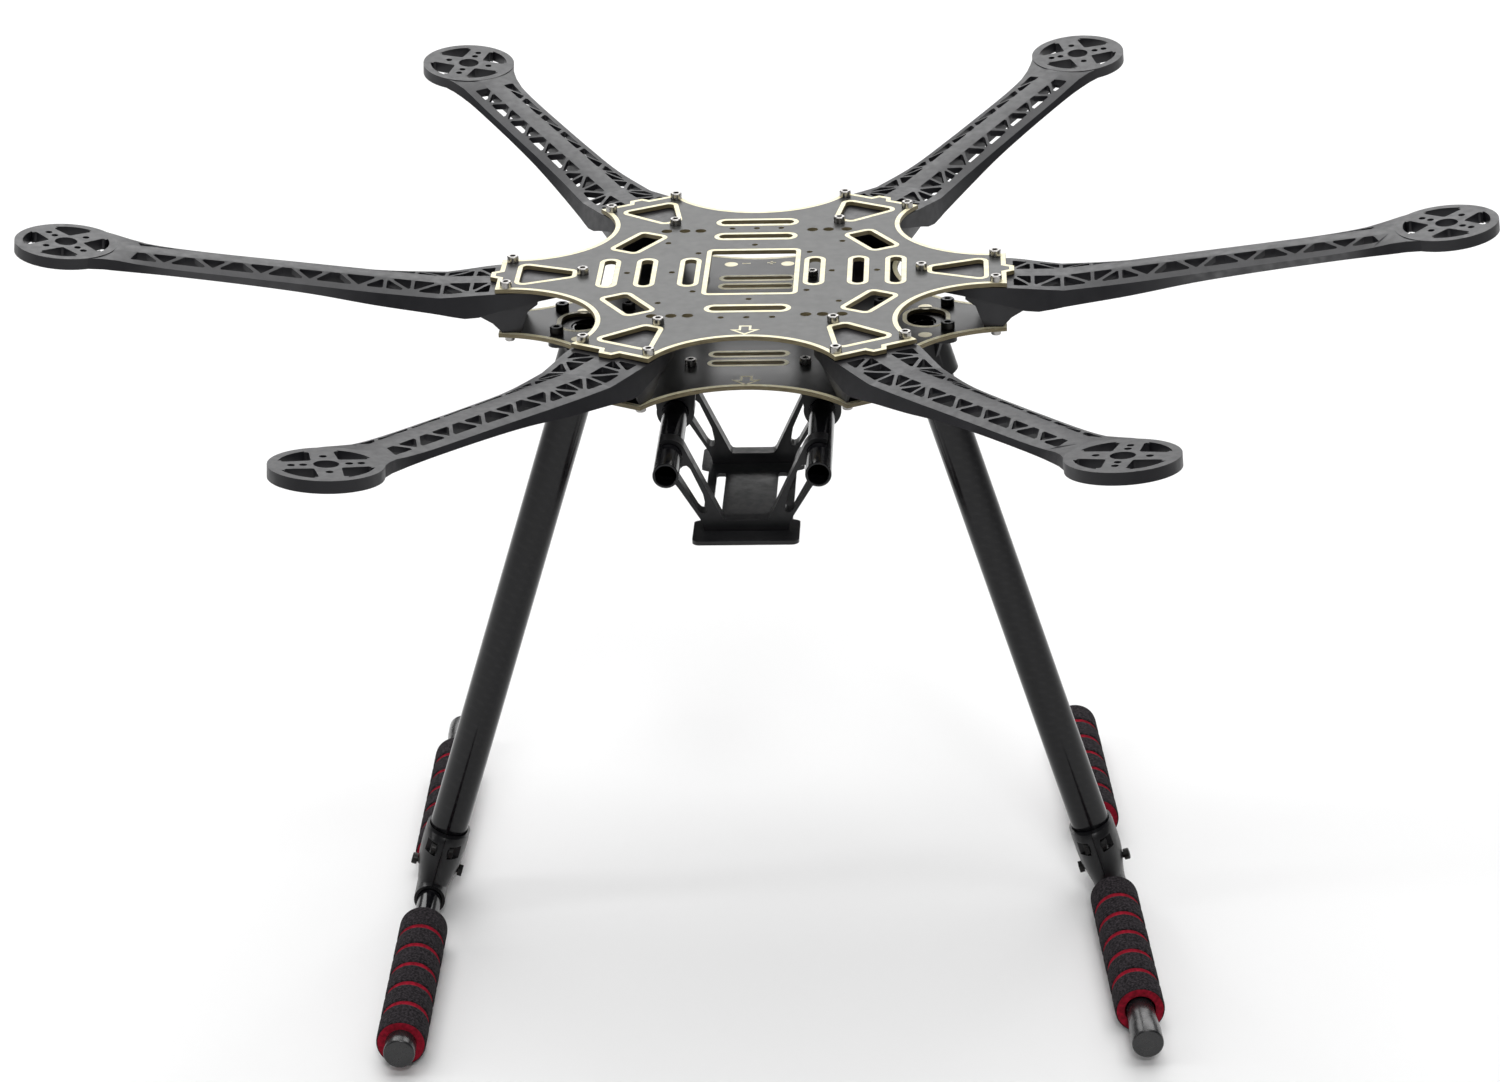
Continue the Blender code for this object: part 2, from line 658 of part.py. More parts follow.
def make_leg_seat(side, word, slots):
    """Flange under the bottom plate with the leaning socket that holds a leg."""
    top = BOTTOM_PLATE_BOTTOM - GAP
    outline = slot_outline(side * LEG_TOP_X, 0, 2 * SEAT_HALF, 2 * SEAT_HALF, corner=0.004)
    flange = extruded([outline], top - SEAT_FLANGE, top)
    low = LEG_LENGTH - SEAT_SOCKET_LENGTH
    tall = extruded([circle(0, 0, SEAT_SOCKET_RADIUS, 20)], low, LEG_LENGTH + 0.005)
    socket = placed(tall, leg_frame(side))
    below = box((-0.1, -0.03, top - 0.04), (0.1, 0.03, top - 0.001))
    trimmed = combined(socket, "INTERSECT", below)
    bore = extruded([circle(0, 0, LEG_RADIUS + 0.0005, 20)], low - 0.01, LEG_LENGTH + 0.01)
    whole = combined(flange, "UNION", trimmed)
    name = "leg_seat_" + word
    mesh = to_mesh(name, combined(whole, "DIFFERENCE", placed(bore, leg_frame(side))))
    smooth(mesh)
    add_object(name, mesh, slots["plastic"])


def oval(half_x, half_y):
    return [(half_x * x, half_y * y) for x, y in circle(0, 0, 1.0, 16)]


def tee_solid(side):
    """The whole T-shaped clamp before it is bored and split."""
    frame = leg_frame(side)
    sections = [[(x, y, height) for x, y in oval(half_x, half_y)] for height, half_x, half_y in TEE_SECTIONS]
    body = placed(loft(sections), frame)
    to_skid = skid_frame(side) @ Matrix.Rotation(math.radians(90), 4, "X")
    foot = placed(extruded([circle(0, 0, TEE_SKID_RADIUS, 16)],
                           -TEE_SKID_HALF_LENGTH, TEE_SKID_HALF_LENGTH), to_skid)
    return combined(body, "UNION", foot)


def tee_pockets(side):
    """Recesses beside the seam for the heads and nuts of the front and rear bolts."""
    pockets = []
    for place in ("front", "rear"):
        y, z, half = TEE_BOLTS[place]
        end = math.copysign(1, y)
        near, far = sorted((end * 0.0087, end * 0.0160))
        for hand in (-1, 1):
            left, right = sorted((hand * half, hand * 0.012))
            pockets.append(placed(box((left, near, z - 0.0029), (right, far, z + 0.0029)), leg_frame(side)))
    return pockets


def tee_bores(side):
    """Everything that passes through a clamp: the leg, the skid and three bolts."""
    frame = leg_frame(side)
    to_skid = skid_frame(side) @ Matrix.Rotation(math.radians(90), 4, "X")
    leg = extruded([circle(0, 0, LEG_RADIUS + 0.0005, 20)], LEG_TUBE_START - GAP, 0.05)
    skid = extruded([circle(0, 0, SKID_RADIUS + 0.0004, 16)], -0.05, 0.05)
    bores = [placed(leg, frame), placed(skid, to_skid)]
    for y, z, _ in TEE_BOLTS.values():
        spot = frame @ Matrix.Translation((0, y, z)) @ Matrix.Rotation(math.radians(90), 4, "Y")
        bores.append(placed(extruded([circle(0, 0, TEE_BOLT_RADIUS + GAP, 8)], -0.02, 0.02), spot))
    return bores


def make_tee(side, word, slots):
    """Clamp between a leg and its skid: an inner and an outer half, bolted across."""
    for half, outwards in (("outer", side), ("inner", -side)):
        near, far = outwards * GAP / 2, outwards * 0.03
        block = box((min(near, far), -0.03, -0.03), (max(near, far), 0.03, 0.05))
        keep = placed(block, leg_frame(side))
        bored = combined(tee_solid(side), "DIFFERENCE", *tee_bores(side), *tee_pockets(side))
        name = "tee_" + half + "_" + word
        mesh = to_mesh(name, combined(bored, "INTERSECT", keep))
        smooth(mesh)
        add_object(name, mesh, slots["plastic"])


def make_tee_bolts(side, word, slots):
    """Bolts that pull the two halves of a clamp together, each with its head on the outside."""
    turn = Matrix.Rotation(math.radians(90 * side), 4, "Y")
    for place, (y, z, half) in TEE_BOLTS.items():
        reach = half + GAP
        profile = [
            (0.0, reach + 0.0024), (TEE_BOLT_HEAD_RADIUS, reach + 0.0024), (TEE_BOLT_HEAD_RADIUS, reach),
            (TEE_BOLT_RADIUS, reach), (TEE_BOLT_RADIUS, -reach), (0.0026, -reach),
            (0.0026, -reach - 0.0018), (0.0, -reach - 0.0018),
        ]
        mesh = to_mesh("tee_bolt", turned_solid(profile, 6))
        spot = leg_frame(side) @ Matrix.Translation((0, y, z)) @ turn
        add_object("tee_bolt_" + place + "_" + word, mesh, slots["steel"], spot)


def foam_sleeve(name):
    """Foam tube with softly rounded ends, along Z."""
    start = FOAM_START[name]
    end = start + FOAM_LENGTH
    edge = 0.001
    return turned_ring([
        (FOAM_BORE, start), (FOAM_RADIUS - edge, start), (FOAM_RADIUS, start + edge),
        (FOAM_RADIUS, end - edge), (FOAM_RADIUS - edge, end), (FOAM_BORE, end),
    ], 16)


def end_cap():
    """Rubber cap over the end of a skid that points along +Z."""
    floor = SKID_HALF_LENGTH + GAP
    top = floor + 0.002
    mouth = top - CAP_LENGTH
    bore = SKID_RADIUS + GAP
    return turned_solid([
        (0.0, top), (CAP_RADIUS - 0.0008, top), (CAP_RADIUS, top - 0.0008),
        (CAP_RADIUS, mouth), (bore, mouth), (bore, floor), (0.0, floor),
    ], 16)


def make_skid(side, word, slots):
    """Front-to-back tube that the frame stands on, with its foam sleeves and end caps."""
    lengthwise = skid_frame(side) @ Matrix.Rotation(math.radians(-90), 4, "X")
    slid = lengthwise @ Matrix.Translation((0, 0, SKID_SHIFT[word]))
    mesh = to_mesh("skid_tube_" + word, tube(SKID_RADIUS, -SKID_HALF_LENGTH, SKID_HALF_LENGTH, 16))
    smooth(mesh)
    add_object("skid_tube_" + word, mesh, slots["carbon"], slid)
    for place in ("front", "rear"):
        flip = Matrix.Rotation(math.radians(180 if place == "front" else 0), 4, "X")
        name = "foam_" + place + "_" + word
        mesh = to_mesh(name, foam_sleeve(name))
        smooth(mesh)
        add_object(name, mesh, slots["foam"], lengthwise)
        mesh = to_mesh("end_cap", end_cap())
        smooth(mesh)
        add_object("end_cap_" + place + "_" + word, mesh, slots["rubber"], slid @ flip)


# ---------------------------------------------------------------- rails and tray
def front_facing(outlines, front, depth):
    """A flat shape drawn in X and Z, extruded from its front face towards the rear."""
    upright = Matrix.Translation((0, front, 0)) @ Matrix.Rotation(math.radians(90), 4, "X")
    return placed(extruded(outlines, -depth, 0.0), upright)


def make_rails(slots):
    lengthwise = Matrix.Rotation(math.radians(-90), 4, "X")
    for side, word in ((-1, "left"), (1, "right")):
        mesh = to_mesh("rail_" + word, tube(RAIL_RADIUS, -RAIL_HALF_LENGTH, RAIL_HALF_LENGTH, 16))
        smooth(mesh)
        place = Matrix.Translation((side * RAIL_X, 0, RAIL_HEIGHT)) @ lengthwise
        add_object("rail_" + word, mesh, slots["carbon"], place)


def make_rail_clips(slots):
    """Blocks that hang a rail under the bottom plate, two on each rail."""
    top = BOTTOM_PLATE_BOTTOM - GAP
    for side, word in ((-1, "left"), (1, "right")):
        for end, place in ((-1, "front"), (1, "rear")):
            x = side * RAIL_X
            block = [(x - CLIP_HALF_WIDTH, top), (x - CLIP_HALF_WIDTH, top - 0.003)]
            block += arc(x, RAIL_HEIGHT, CLIP_RING_RADIUS, 170, 370, 8)
            block += [(x + CLIP_HALF_WIDTH, top - 0.003), (x + CLIP_HALF_WIDTH, top)]
            bore = circle(x, RAIL_HEIGHT, RAIL_RADIUS + GAP, 16)
            name = "rail_clip_" + place + "_" + word
            mesh = to_mesh(name, front_facing([block, bore], end * CLIP_Y - CLIP_DEPTH / 2, CLIP_DEPTH))
            smooth(mesh)
            add_object(name, mesh, slots["plastic"])


def hanger_outlines():
    """Front view of a tray hanger: an open hook on each rail, two struts down from it and a foot bar."""
    bore = RAIL_RADIUS + GAP
    low_end = 360 - HOOK_OPENING
    right = [(FOOT_HALF_WIDTH, PLATFORM_TOP + GAP), (0.0165, 0.2156), (0.0176, 0.2187), (0.0253, 0.2312)]
    right += arc(RAIL_X, RAIL_HEIGHT, HOOK_RADIUS, 284, low_end, 3)
    right += arc(RAIL_X, RAIL_HEIGHT, bore, low_end, HOOK_OPENING, 17)
    right += arc(RAIL_X, RAIL_HEIGHT, HOOK_RADIUS, HOOK_OPENING, 160, 9)
    right += [(0.0092, BAR_TOP + 0.0012), (0.0084, BAR_TOP + 0.0002), (0.0072, BAR_TOP)]
    left = [(-x, z) for x, z in reversed(right)]
    window = [(0.0150, 0.2224), (0.0154, 0.2214), (0.0163, 0.2211), (0.0173, 0.2214), (0.0184, 0.2226)]
    window += arc(RAIL_X, RAIL_HEIGHT, HOOK_RADIUS + 0.0001, 256, 220, 4)
    window += [(0.0221, 0.2409), (0.0208, 0.2396), (0.0162, 0.2290)]
    other = [(-x, z) for x, z in reversed(window)]
    return [right + left, window, other]


def platform_outlines():
    """Plan of the tray platform: wide ends under the hangers and two long strap slots."""
    front = HANGER_FRONTS["tray_hanger_front"] - FLANGE_REACH
    rear = HANGER_FRONTS["tray_hanger_rear"] + HANGER_DEPTH + FLANGE_REACH
    corner = 0.003
    right = arc(FLANGE_HALF_WIDTH - corner, front + corner, corner, 270, 360, 4)
    right += [(FLANGE_HALF_WIDTH, front + FLANGE_DEPTH - 0.001)]
    right += [(FLANGE_HALF_WIDTH - 0.001, front + FLANGE_DEPTH)]
    right += [(PLATFORM_HALF_WIDTH, front + FLANGE_DEPTH + 0.001)]
    right += [(PLATFORM_HALF_WIDTH, rear - FLANGE_DEPTH - 0.001)]
    right += [(FLANGE_HALF_WIDTH - 0.001, rear - FLANGE_DEPTH)]
    right += [(FLANGE_HALF_WIDTH, rear - FLANGE_DEPTH + 0.001)]
    right += arc(FLANGE_HALF_WIDTH - corner, rear - corner, corner, 0, 90, 4)
    left = [(-x, y) for x, y in reversed(right)]
    middle = (front + rear) / 2
    slots_through = [slot_outline(side * STRAP_SLOT_X, middle, STRAP_SLOT_WIDTH, STRAP_SLOT_LENGTH,
                                  corner=0.001, count=2) for side in (-1, 1)]
    return [right + left, *slots_through]


def make_tray(slots):
    """Battery tray: two hangers that slide on the rails and the platform under them."""
    for name, front in HANGER_FRONTS.items():
        mesh = to_mesh(name, front_facing(hanger_outlines(), front, HANGER_DEPTH))
        smooth(mesh)
        add_object(name, mesh, slots["plastic"])
    slab = extruded(platform_outlines(), PLATFORM_TOP - PLATFORM_THICKNESS, PLATFORM_TOP)
    add_object("tray_platform", to_mesh("tray_platform", slab), slots["plastic"])


# ---------------------------------------------------------------- the whole frame
def main():
    for old in list(bpy.data.objects):
        bpy.data.objects.remove(old)
    slots = make_materials()
    make_top_plate(slots)
    make_bottom_plate(slots)
    make_arms(slots)
    make_arm_screws(slots)
    for side, word in ((-1, "left"), (1, "right")):
        make_leg_tube(side, word, slots)
        make_leg_seat(side, word, slots)
        make_tee(side, word, slots)
        make_tee_bolts(side, word, slots)
        make_skid(side, word, slots)
    make_rails(slots)
    make_rail_clips(slots)
    make_tray(slots)


main()
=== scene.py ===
"""Detailed look of the hexacopter frame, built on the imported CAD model.

Metres, +Z up, the frame's front towards -Y. Each part of the frame is rebuilt with rounded edges and
fine detail in the place of its CAD node, and gets a procedural material.
"""

import math

import bmesh
import bpy
from mathutils import Matrix, Vector


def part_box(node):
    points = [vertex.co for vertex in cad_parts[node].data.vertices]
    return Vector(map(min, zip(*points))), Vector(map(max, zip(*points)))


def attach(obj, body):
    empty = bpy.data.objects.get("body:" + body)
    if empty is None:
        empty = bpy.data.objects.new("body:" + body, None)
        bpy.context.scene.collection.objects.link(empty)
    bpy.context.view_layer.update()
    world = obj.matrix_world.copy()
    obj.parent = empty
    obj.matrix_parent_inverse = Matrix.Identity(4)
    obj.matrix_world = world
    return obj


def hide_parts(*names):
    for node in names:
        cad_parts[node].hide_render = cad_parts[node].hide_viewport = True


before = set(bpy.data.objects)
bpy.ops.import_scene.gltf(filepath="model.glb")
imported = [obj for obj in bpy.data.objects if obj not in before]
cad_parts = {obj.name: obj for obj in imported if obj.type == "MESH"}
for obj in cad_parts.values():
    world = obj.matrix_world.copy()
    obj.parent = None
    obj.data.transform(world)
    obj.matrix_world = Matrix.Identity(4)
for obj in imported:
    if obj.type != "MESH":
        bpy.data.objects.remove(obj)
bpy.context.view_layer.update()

# ---------------------------------------------------------------- dimensions
TOP_PLATE_LOW, TOP_PLATE_HIGH = (corner.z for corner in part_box("top_plate"))
BOARD_LOW, BOARD_HIGH = (corner.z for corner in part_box("bottom_plate"))
GAP = 0.0003  # clearance between parts that are screwed together
HAIR = 0.00001  # keeps two faces from lying in the same plane
SIDES = ((-1, "left"), (1, "right"))

HUB_RADIUS_FROM_CENTRE = 0.275
HUB_HEIGHT = 0.300
HUB_RADIUS = 0.0205
HUB_THICKNESS = 0.0046
HUB_LIP = 0.0001  # how far the spine stays below the hub's face where they meet
HUB_SPOKE = 0.0042  # half the width of a spoke between two windows
HUB_WINDOW_REACH = 0.0172  # outer radius of the windows
HUB_BORE = 0.0045
MOTOR_SCREW_HOLE = 0.0014
# Screw holes of a hub: direction in degrees and distances from its centre.
MOTOR_SCREWS = ((45, (0.0095,)), (135, (0.0080, 0.0122)), (225, (0.0095,)), (315, (0.0080, 0.0122)))
ARM_BEND = 0.124
ARM_ROOT_TOP = TOP_PLATE_LOW - GAP
ARM_ANGLES = {
    "arm_right": 0, "arm_rear_right": 60, "arm_rear_left": 120,
    "arm_left": 180, "arm_front_left": 240, "arm_front_right": 300,
}
ARM_SCREWS = {"a": (0.0972, -0.0151), "b": (0.0972, 0.0151), "inner": (0.0677, 0.0)}
FOOT_SCREWS = ((0.0972, -0.0105), (0.0972, 0.0105))

PLATE_END = 0.1015
PLATE_BAY = 0.0737
TOP_PLATE_HALF_WIDTH = 0.0178
BOARD_HALF_WIDTH = 0.0130
TAB_LENGTH = 0.0032
TAB_HALF_WIDTH = 0.0028
TAB_FLARE = 0.0018
BORDER_WIDTH = 0.0019  # printed border around every edge of a plate
BOARD_SLOT_BORDER_WIDTH = 0.0017
BORDER_MARGIN = 0.00012
PRINT_THICKNESS = 0.00004
SMALL_HOLE = 0.00125
LARGE_HOLE = 0.00225
BOARD_SLOTS = (-0.0488, -0.0390, 0.0390, 0.0488)
LEG_BAY_X = 0.0695

LEG_TOP_X = 0.0645
LEG_RADIUS = 0.008
TUBE_WALL = 0.001
SKID_X = 0.144
SKID_HEIGHT = 0.010
SKID_RADIUS = 0.005
SKID_HALF_LENGTH = 0.1445
SKID_TURN = {"left": 1.0, "right": 4.0}
SKID_SHIFT = {"left": 0.0, "right": 0.0055}
LEG_LEAN = math.atan2(SKID_X - LEG_TOP_X, BOARD_LOW - SKID_HEIGHT)
LEG_LENGTH = (BOARD_LOW - SKID_HEIGHT) / math.cos(LEG_LEAN)
LEG_TUBE_START = 0.0105
FOAM_RADIUS = 0.010
FOAM_CORE = 0.0094  # radius of the red core under the black skin
FOAM_GROOVE_HALF_WIDTH = 0.0016
FOAM_BORE = 0.0063
FOAM_LENGTH = 0.095
FOAM_GROOVES = 5
FOAM_SKIN_ROUNDING = 0.0004
# A skin between two grooves and a groove: share of its length or half width, and how deep it sinks there.
FOAM_SKIN = (
    (0.0, FOAM_SKIN_ROUNDING), (0.03, 0.0001), (0.12, 0.0), (0.5, 0.0), (0.88, 0.0), (0.97, 0.0001),
    (1.0, FOAM_SKIN_ROUNDING),
)
FOAM_GROOVE = ((-0.94, 0.0), (-0.3, 0.0006), (0.3, 0.0006), (0.94, 0.0))
FOAM_START = {
    "foam_front_left": -0.1383, "foam_rear_left": 0.0215,
    "foam_front_right": -0.1147, "foam_rear_right": 0.0507,
}
CAP_RADIUS = 0.0063
CAP_LENGTH = 0.028
CAP_END = 0.002  # thickness of a cap's closed end
CAP_ROUNDING = 0.0008
# Outside of a cap behind its end: distance from the end and how much thinner it is there.
CAP_TAPER = (
    (0.009, 0.0), (0.012, 0.0002), (0.018, 0.0006), (CAP_LENGTH - 0.0004, 0.0008), (CAP_LENGTH, 0.0010),
)
SEAT_HALF = 0.0172
SEAT_FLANGE = 0.003
SEAT_SOCKET_RADIUS = 0.0108
SEAT_SOCKET_LENGTH = 0.024
SEAT_SCREW_OFFSET = 0.0135
TEE_SKID_RADIUS = 0.0066
TEE_SKID_HALF_LENGTH = 0.0190
TEE_BOLT_RADIUS = 0.0013
TEE_SEAM = 0.00012  # half the gap between the two halves of a clamp
TEE_POCKET_HALF_HEIGHT = 0.0029
BORE_PLAY = 0.0003  # how much wider a bore is than the tube in it
# The body of a clamp along its leg: height above the skid's axis, half width and half length.
TEE_SECTIONS = (
    (0.0005, 0.0068, 0.0185), (0.0035, 0.0074, 0.0174), (0.0075, 0.0084, 0.0158), (0.0120, 0.0092, 0.0145),
    (0.0170, 0.0094, 0.0138), (0.0240, 0.0094, 0.0134), (0.0265, 0.0092, 0.0118),
)
# Clamp bolts: place along the skid, height up the leg, and half of the length between head and nut.
TEE_BOLTS = {
    "front": (-0.0115, 0.0205, 0.0026),
    "rear": (0.0115, 0.0205, 0.0026),
    "lower": (0.0, 0.0072, 0.0088),
}

RAIL_X = 0.0288
RAIL_HEIGHT = 0.245
RAIL_RADIUS = 0.005
RAIL_HALF_LENGTH = 0.120
CLIP_Y = 0.0504
CLIP_DEPTH = 0.009
CLIP_RING_RADIUS = 0.0074
CLIP_HALF_WIDTH = 0.0088
CLIP_SCREW_OFFSET = 0.0064
CLIP_BROW = 0.003  # height of a clip's straight sides above its ring
HANGER_FRONTS = {"tray_hanger_front": -0.1000, "tray_hanger_rear": -0.0320}
HANGER_DEPTH = 0.0065
HOOK_RADIUS = 0.0067  # outside of the open hooks that slide on the rails
HOOK_OPENING = 60  # degrees either side of straight out where a hook is open
FOOT_HALF_WIDTH = 0.0162
BAR_TOP = 0.2180
PLATFORM_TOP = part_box("tray_platform")[1].z
PLATFORM_THICKNESS = 0.0016
PLATFORM_HALF_WIDTH = 0.0175
FLANGE_HALF_WIDTH = 0.0205
FLANGE_REACH = 0.0103  # how far the platform's wide ends stand out beyond the hangers
FLANGE_DEPTH = 0.0204
FLANGE_CORNER = 0.003
FLANGE_CUT = 0.001
STRAP_SLOT_X = 0.0122
STRAP_SLOT_WIDTH = 0.0036
STRAP_SLOT_LENGTH = 0.0415


# ---------------------------------------------------------------- material nodes
class Surface:
    """A Principled material under construction, with helpers for procedural detail."""

    def __init__(self, name, colour, roughness, metallic=0.0):
        self.material = bpy.data.materials.new(name)
        self.material.use_nodes = True
        self.tree = self.material.node_tree
        self.shader = self.tree.nodes["Principled BSDF"]
        self.shader.inputs["Base Color"].default_value = (*colour, 1.0)
        self.shader.inputs["Roughness"].default_value = roughness
        self.shader.inputs["Metallic"].default_value = metallic
        self.normal = None

    def node(self, kind, **inputs):
        made = self.tree.nodes.new(kind)
        for name, value in inputs.items():
            made.inputs[name.replace("_", " ")].default_value = value
        return made

    def coordinates(self, stretch=(1.0, 1.0, 1.0)):
        """Object coordinates, stretched along each axis."""
        source = self.node("ShaderNodeTexCoord")
        mapping = self.node("ShaderNodeMapping")
        mapping.inputs["Scale"].default_value = stretch
        self.tree.links.new(source.outputs["Object"], mapping.inputs["Vector"])
        return mapping.outputs["Vector"]

    def noise(self, scale, detail=3.0, stretch=(1.0, 1.0, 1.0)):
        made = self.node("ShaderNodeTexNoise", Scale=scale, Detail=detail)
        self.tree.links.new(self.coordinates(stretch), made.inputs["Vector"])
        return made.outputs["Fac"]

    def waves(self, scale, direction, distortion=0.0):
        made = self.node("ShaderNodeTexWave", Scale=scale, Distortion=distortion)
        made.bands_direction = direction
        self.tree.links.new(self.coordinates(), made.inputs["Vector"])
        return made.outputs["Fac"]

    def spots(self, scale):
        made = self.node("ShaderNodeTexVoronoi", Scale=scale)
        self.tree.links.new(self.coordinates(), made.inputs["Vector"])
        return made.outputs["Distance"]

    def mixed(self, first, second, operation="MULTIPLY"):
        made = self.node("ShaderNodeMath")
        made.operation = operation
        self.tree.links.new(first, made.inputs[0])
        self.tree.links.new(second, made.inputs[1])
        return made.outputs[0]

    def ramp(self, factor, low, high, start=0.3, end=0.7):
        """A colour ramp from one colour or grey value to another."""
        made = self.node("ShaderNodeValToRGB")
        colours = []
        for value in (low, high):
            grey = isinstance(value, (int, float))
            colours.append((value, value, value, 1.0) if grey else (*value, 1.0))
        made.color_ramp.elements[0].position = start
        made.color_ramp.elements[0].color = colours[0]
        made.color_ramp.elements[1].position = end
        made.color_ramp.elements[1].color = colours[1]
        self.tree.links.new(factor, made.inputs["Fac"])
        return made.outputs["Color"]

    def colour(self, factor, low, high, start=0.3, end=0.7):
        self.tree.links.new(self.ramp(factor, low, high, start, end), self.shader.inputs["Base Color"])

    def rough(self, factor, low, high, start=0.3, end=0.7):
        self.tree.links.new(self.ramp(factor, low, high, start, end), self.shader.inputs["Roughness"])

    def specular(self, level):
        self.shader.inputs["Specular IOR Level"].default_value = level

    def weave(self, strength):
        """Faint relief of the glass cloth in a laminate."""
        cloth = self.mixed(self.waves(420.0, "X"), self.waves(420.0, "Y"), "ADD")
        self.bump(cloth, strength, 0.00003)

    def bump(self, factor, strength, distance):
        """Adds a layer of relief on top of the ones before."""
        made = self.node("ShaderNodeBump", Strength=strength, Distance=distance)
        self.tree.links.new(factor, made.inputs["Height"])
        if self.normal is not None:
            self.tree.links.new(self.normal, made.inputs["Normal"])
        self.normal = made.outputs["Normal"]
        self.tree.links.new(self.normal, self.shader.inputs["Normal"])


def laminate_material():
    """Dark satin solder mask over glass weave."""
    made = Surface("grey_laminate", (0.024, 0.025, 0.023), 0.38)
    made.weave(0.08)
    made.colour(made.noise(90.0, 3.0), (0.021, 0.022, 0.020), (0.028, 0.029, 0.027))
    made.rough(made.noise(260.0, 2.0), 0.36, 0.41)
    return made.material


def board_material():
    """Glossier black laminate of the bottom plate."""
    made = Surface("black_laminate", (0.010, 0.010, 0.010), 0.32)
    made.weave(0.06)
    made.colour(made.noise(60.0, 2.0), (0.009, 0.009, 0.009), (0.013, 0.013, 0.012))
    made.rough(made.noise(120.0, 2.0), 0.30, 0.34)
    made.specular(0.28)
    return made.material


def edge_material():
    """Raw glass laminate on the cut edges of a plate."""
    made = Surface("laminate_edge", (0.15, 0.12, 0.06), 0.6)
    layers = made.noise(1500.0, 2.0, (0.15, 0.15, 3.0))
    made.colour(layers, (0.10, 0.08, 0.04), (0.24, 0.20, 0.11))
    made.bump(layers, 0.3, 0.00005)
    return made.material


def print_material():
    """Cream printed borders and marks."""
    made = Surface("cream_print", (0.88, 0.82, 0.56), 0.5)
    made.colour(made.noise(350.0, 3.0), (0.84, 0.76, 0.48), (0.92, 0.87, 0.64))
    made.bump(made.noise(1200.0, 2.0), 0.15, 0.00003)
    return made.material


def pad_material():
    """Tinned copper pads."""
    made = Surface("gold_pad", (0.80, 0.72, 0.48), 0.32, 0.35)
    made.colour(made.noise(240.0, 3.0), (0.70, 0.62, 0.38), (0.88, 0.82, 0.60))
    made.bump(made.noise(500.0, 2.0), 0.2, 0.00004)
    return made.material


def nylon_material():
    """Moulded glass-filled nylon: satin, with fine grain and faint flow marks."""
    made = Surface("black_nylon", (0.010, 0.010, 0.012), 0.42)
    flow = made.noise(60.0, 4.0, (1.0, 1.0, 0.4))
    made.colour(flow, (0.007, 0.007, 0.009), (0.014, 0.014, 0.017))
    made.rough(made.noise(300.0, 3.0), 0.34, 0.46)
    made.bump(made.noise(2200.0, 2.0), 0.12, 0.00006)
    made.bump(made.noise(150.0, 2.0), 0.10, 0.0002)
    made.specular(0.40)
    return made.material


def plastic_material():
    """Satin black moulded plastic of the fittings."""
    made = Surface("black_plastic", (0.006, 0.006, 0.007), 0.34)
    made.colour(made.noise(120.0, 3.0), (0.004, 0.004, 0.005), (0.009, 0.009, 0.010))
    made.rough(made.noise(400.0, 3.0), 0.28, 0.42)
    made.bump(made.noise(1600.0, 2.0), 0.10, 0.00005)
    made.specular(0.36)
    return made.material


def carbon_material():
    """Glossy wrapped carbon tube with a faint weave deep under the lacquer."""
    made = Surface("carbon_tube", (0.004, 0.004, 0.005), 0.16)
    weave = made.mixed(made.waves(120.0, "DIAGONAL", 0.6), made.waves(85.0, "Z", 0.6))
    made.colour(weave, (0.003, 0.003, 0.004), (0.008, 0.008, 0.009), 0.2, 0.8)
    made.rough(made.noise(160.0, 3.0, (1.0, 1.0, 0.2)), 0.11, 0.18)
    made.bump(weave, 0.03, 0.00003)
    made.specular(0.34)
    return made.material


def foam_material():
    """Closed-cell foam: rough, speckled and nearly black."""
    made = Surface("black_foam", (0.015, 0.013, 0.015), 1.0)
    made.colour(made.noise(1100.0, 3.0), (0.007, 0.006, 0.007), (0.050, 0.042, 0.048), 0.38, 0.74)
    made.bump(made.spots(1300.0), 0.5, 0.0002)
    made.bump(made.noise(420.0, 4.0), 0.35, 0.0004)
    made.specular(0.15)
    return made.material


def foam_core_material():
    """Red foam under the black skin, seen in the grooves and at the ends."""
    made = Surface("red_foam", (0.26, 0.003, 0.014), 0.9)
    made.colour(made.noise(700.0, 4.0), (0.16, 0.002, 0.010), (0.37, 0.006, 0.026))
    made.bump(made.spots(1100.0), 0.4, 0.0002)
    made.specular(0.25)
    return made.material


def rubber_material():
    """Smooth dark rubber with a dull shine."""
    made = Surface("cap_rubber", (0.010, 0.010, 0.011), 0.26)
    made.colour(made.noise(200.0, 4.0), (0.008, 0.008, 0.009), (0.018, 0.018, 0.019))
    made.rough(made.noise(260.0, 3.0), 0.22, 0.32)
    made.bump(made.noise(900.0, 3.0), 0.12, 0.00006)
    made.specular(0.6)
    return made.material


def steel_material():
    """Bright zinc-plated steel with fine turning marks."""
    made = Surface("bright_steel", (0.36, 0.35, 0.33), 0.28, 1.0)
    made.colour(made.noise(500.0, 3.0), (0.27, 0.26, 0.25), (0.46, 0.45, 0.43))
    made.rough(made.noise(700.0, 3.0), 0.20, 0.36)
    made.bump(made.noise(1500.0, 2.0, (1.0, 1.0, 6.0)), 0.10, 0.00004)
    return made.material


def black_steel_material():
    """Blackened steel of the cap screws on the bottom plate."""
    made = Surface("black_steel", (0.020, 0.020, 0.021), 0.35, 0.8)
    made.colour(made.noise(500.0, 3.0), (0.014, 0.014, 0.015), (0.035, 0.034, 0.033))
    made.rough(made.noise(700.0, 3.0), 0.28, 0.42)
    made.bump(made.noise(1500.0, 2.0), 0.10, 0.00004)
    return made.material


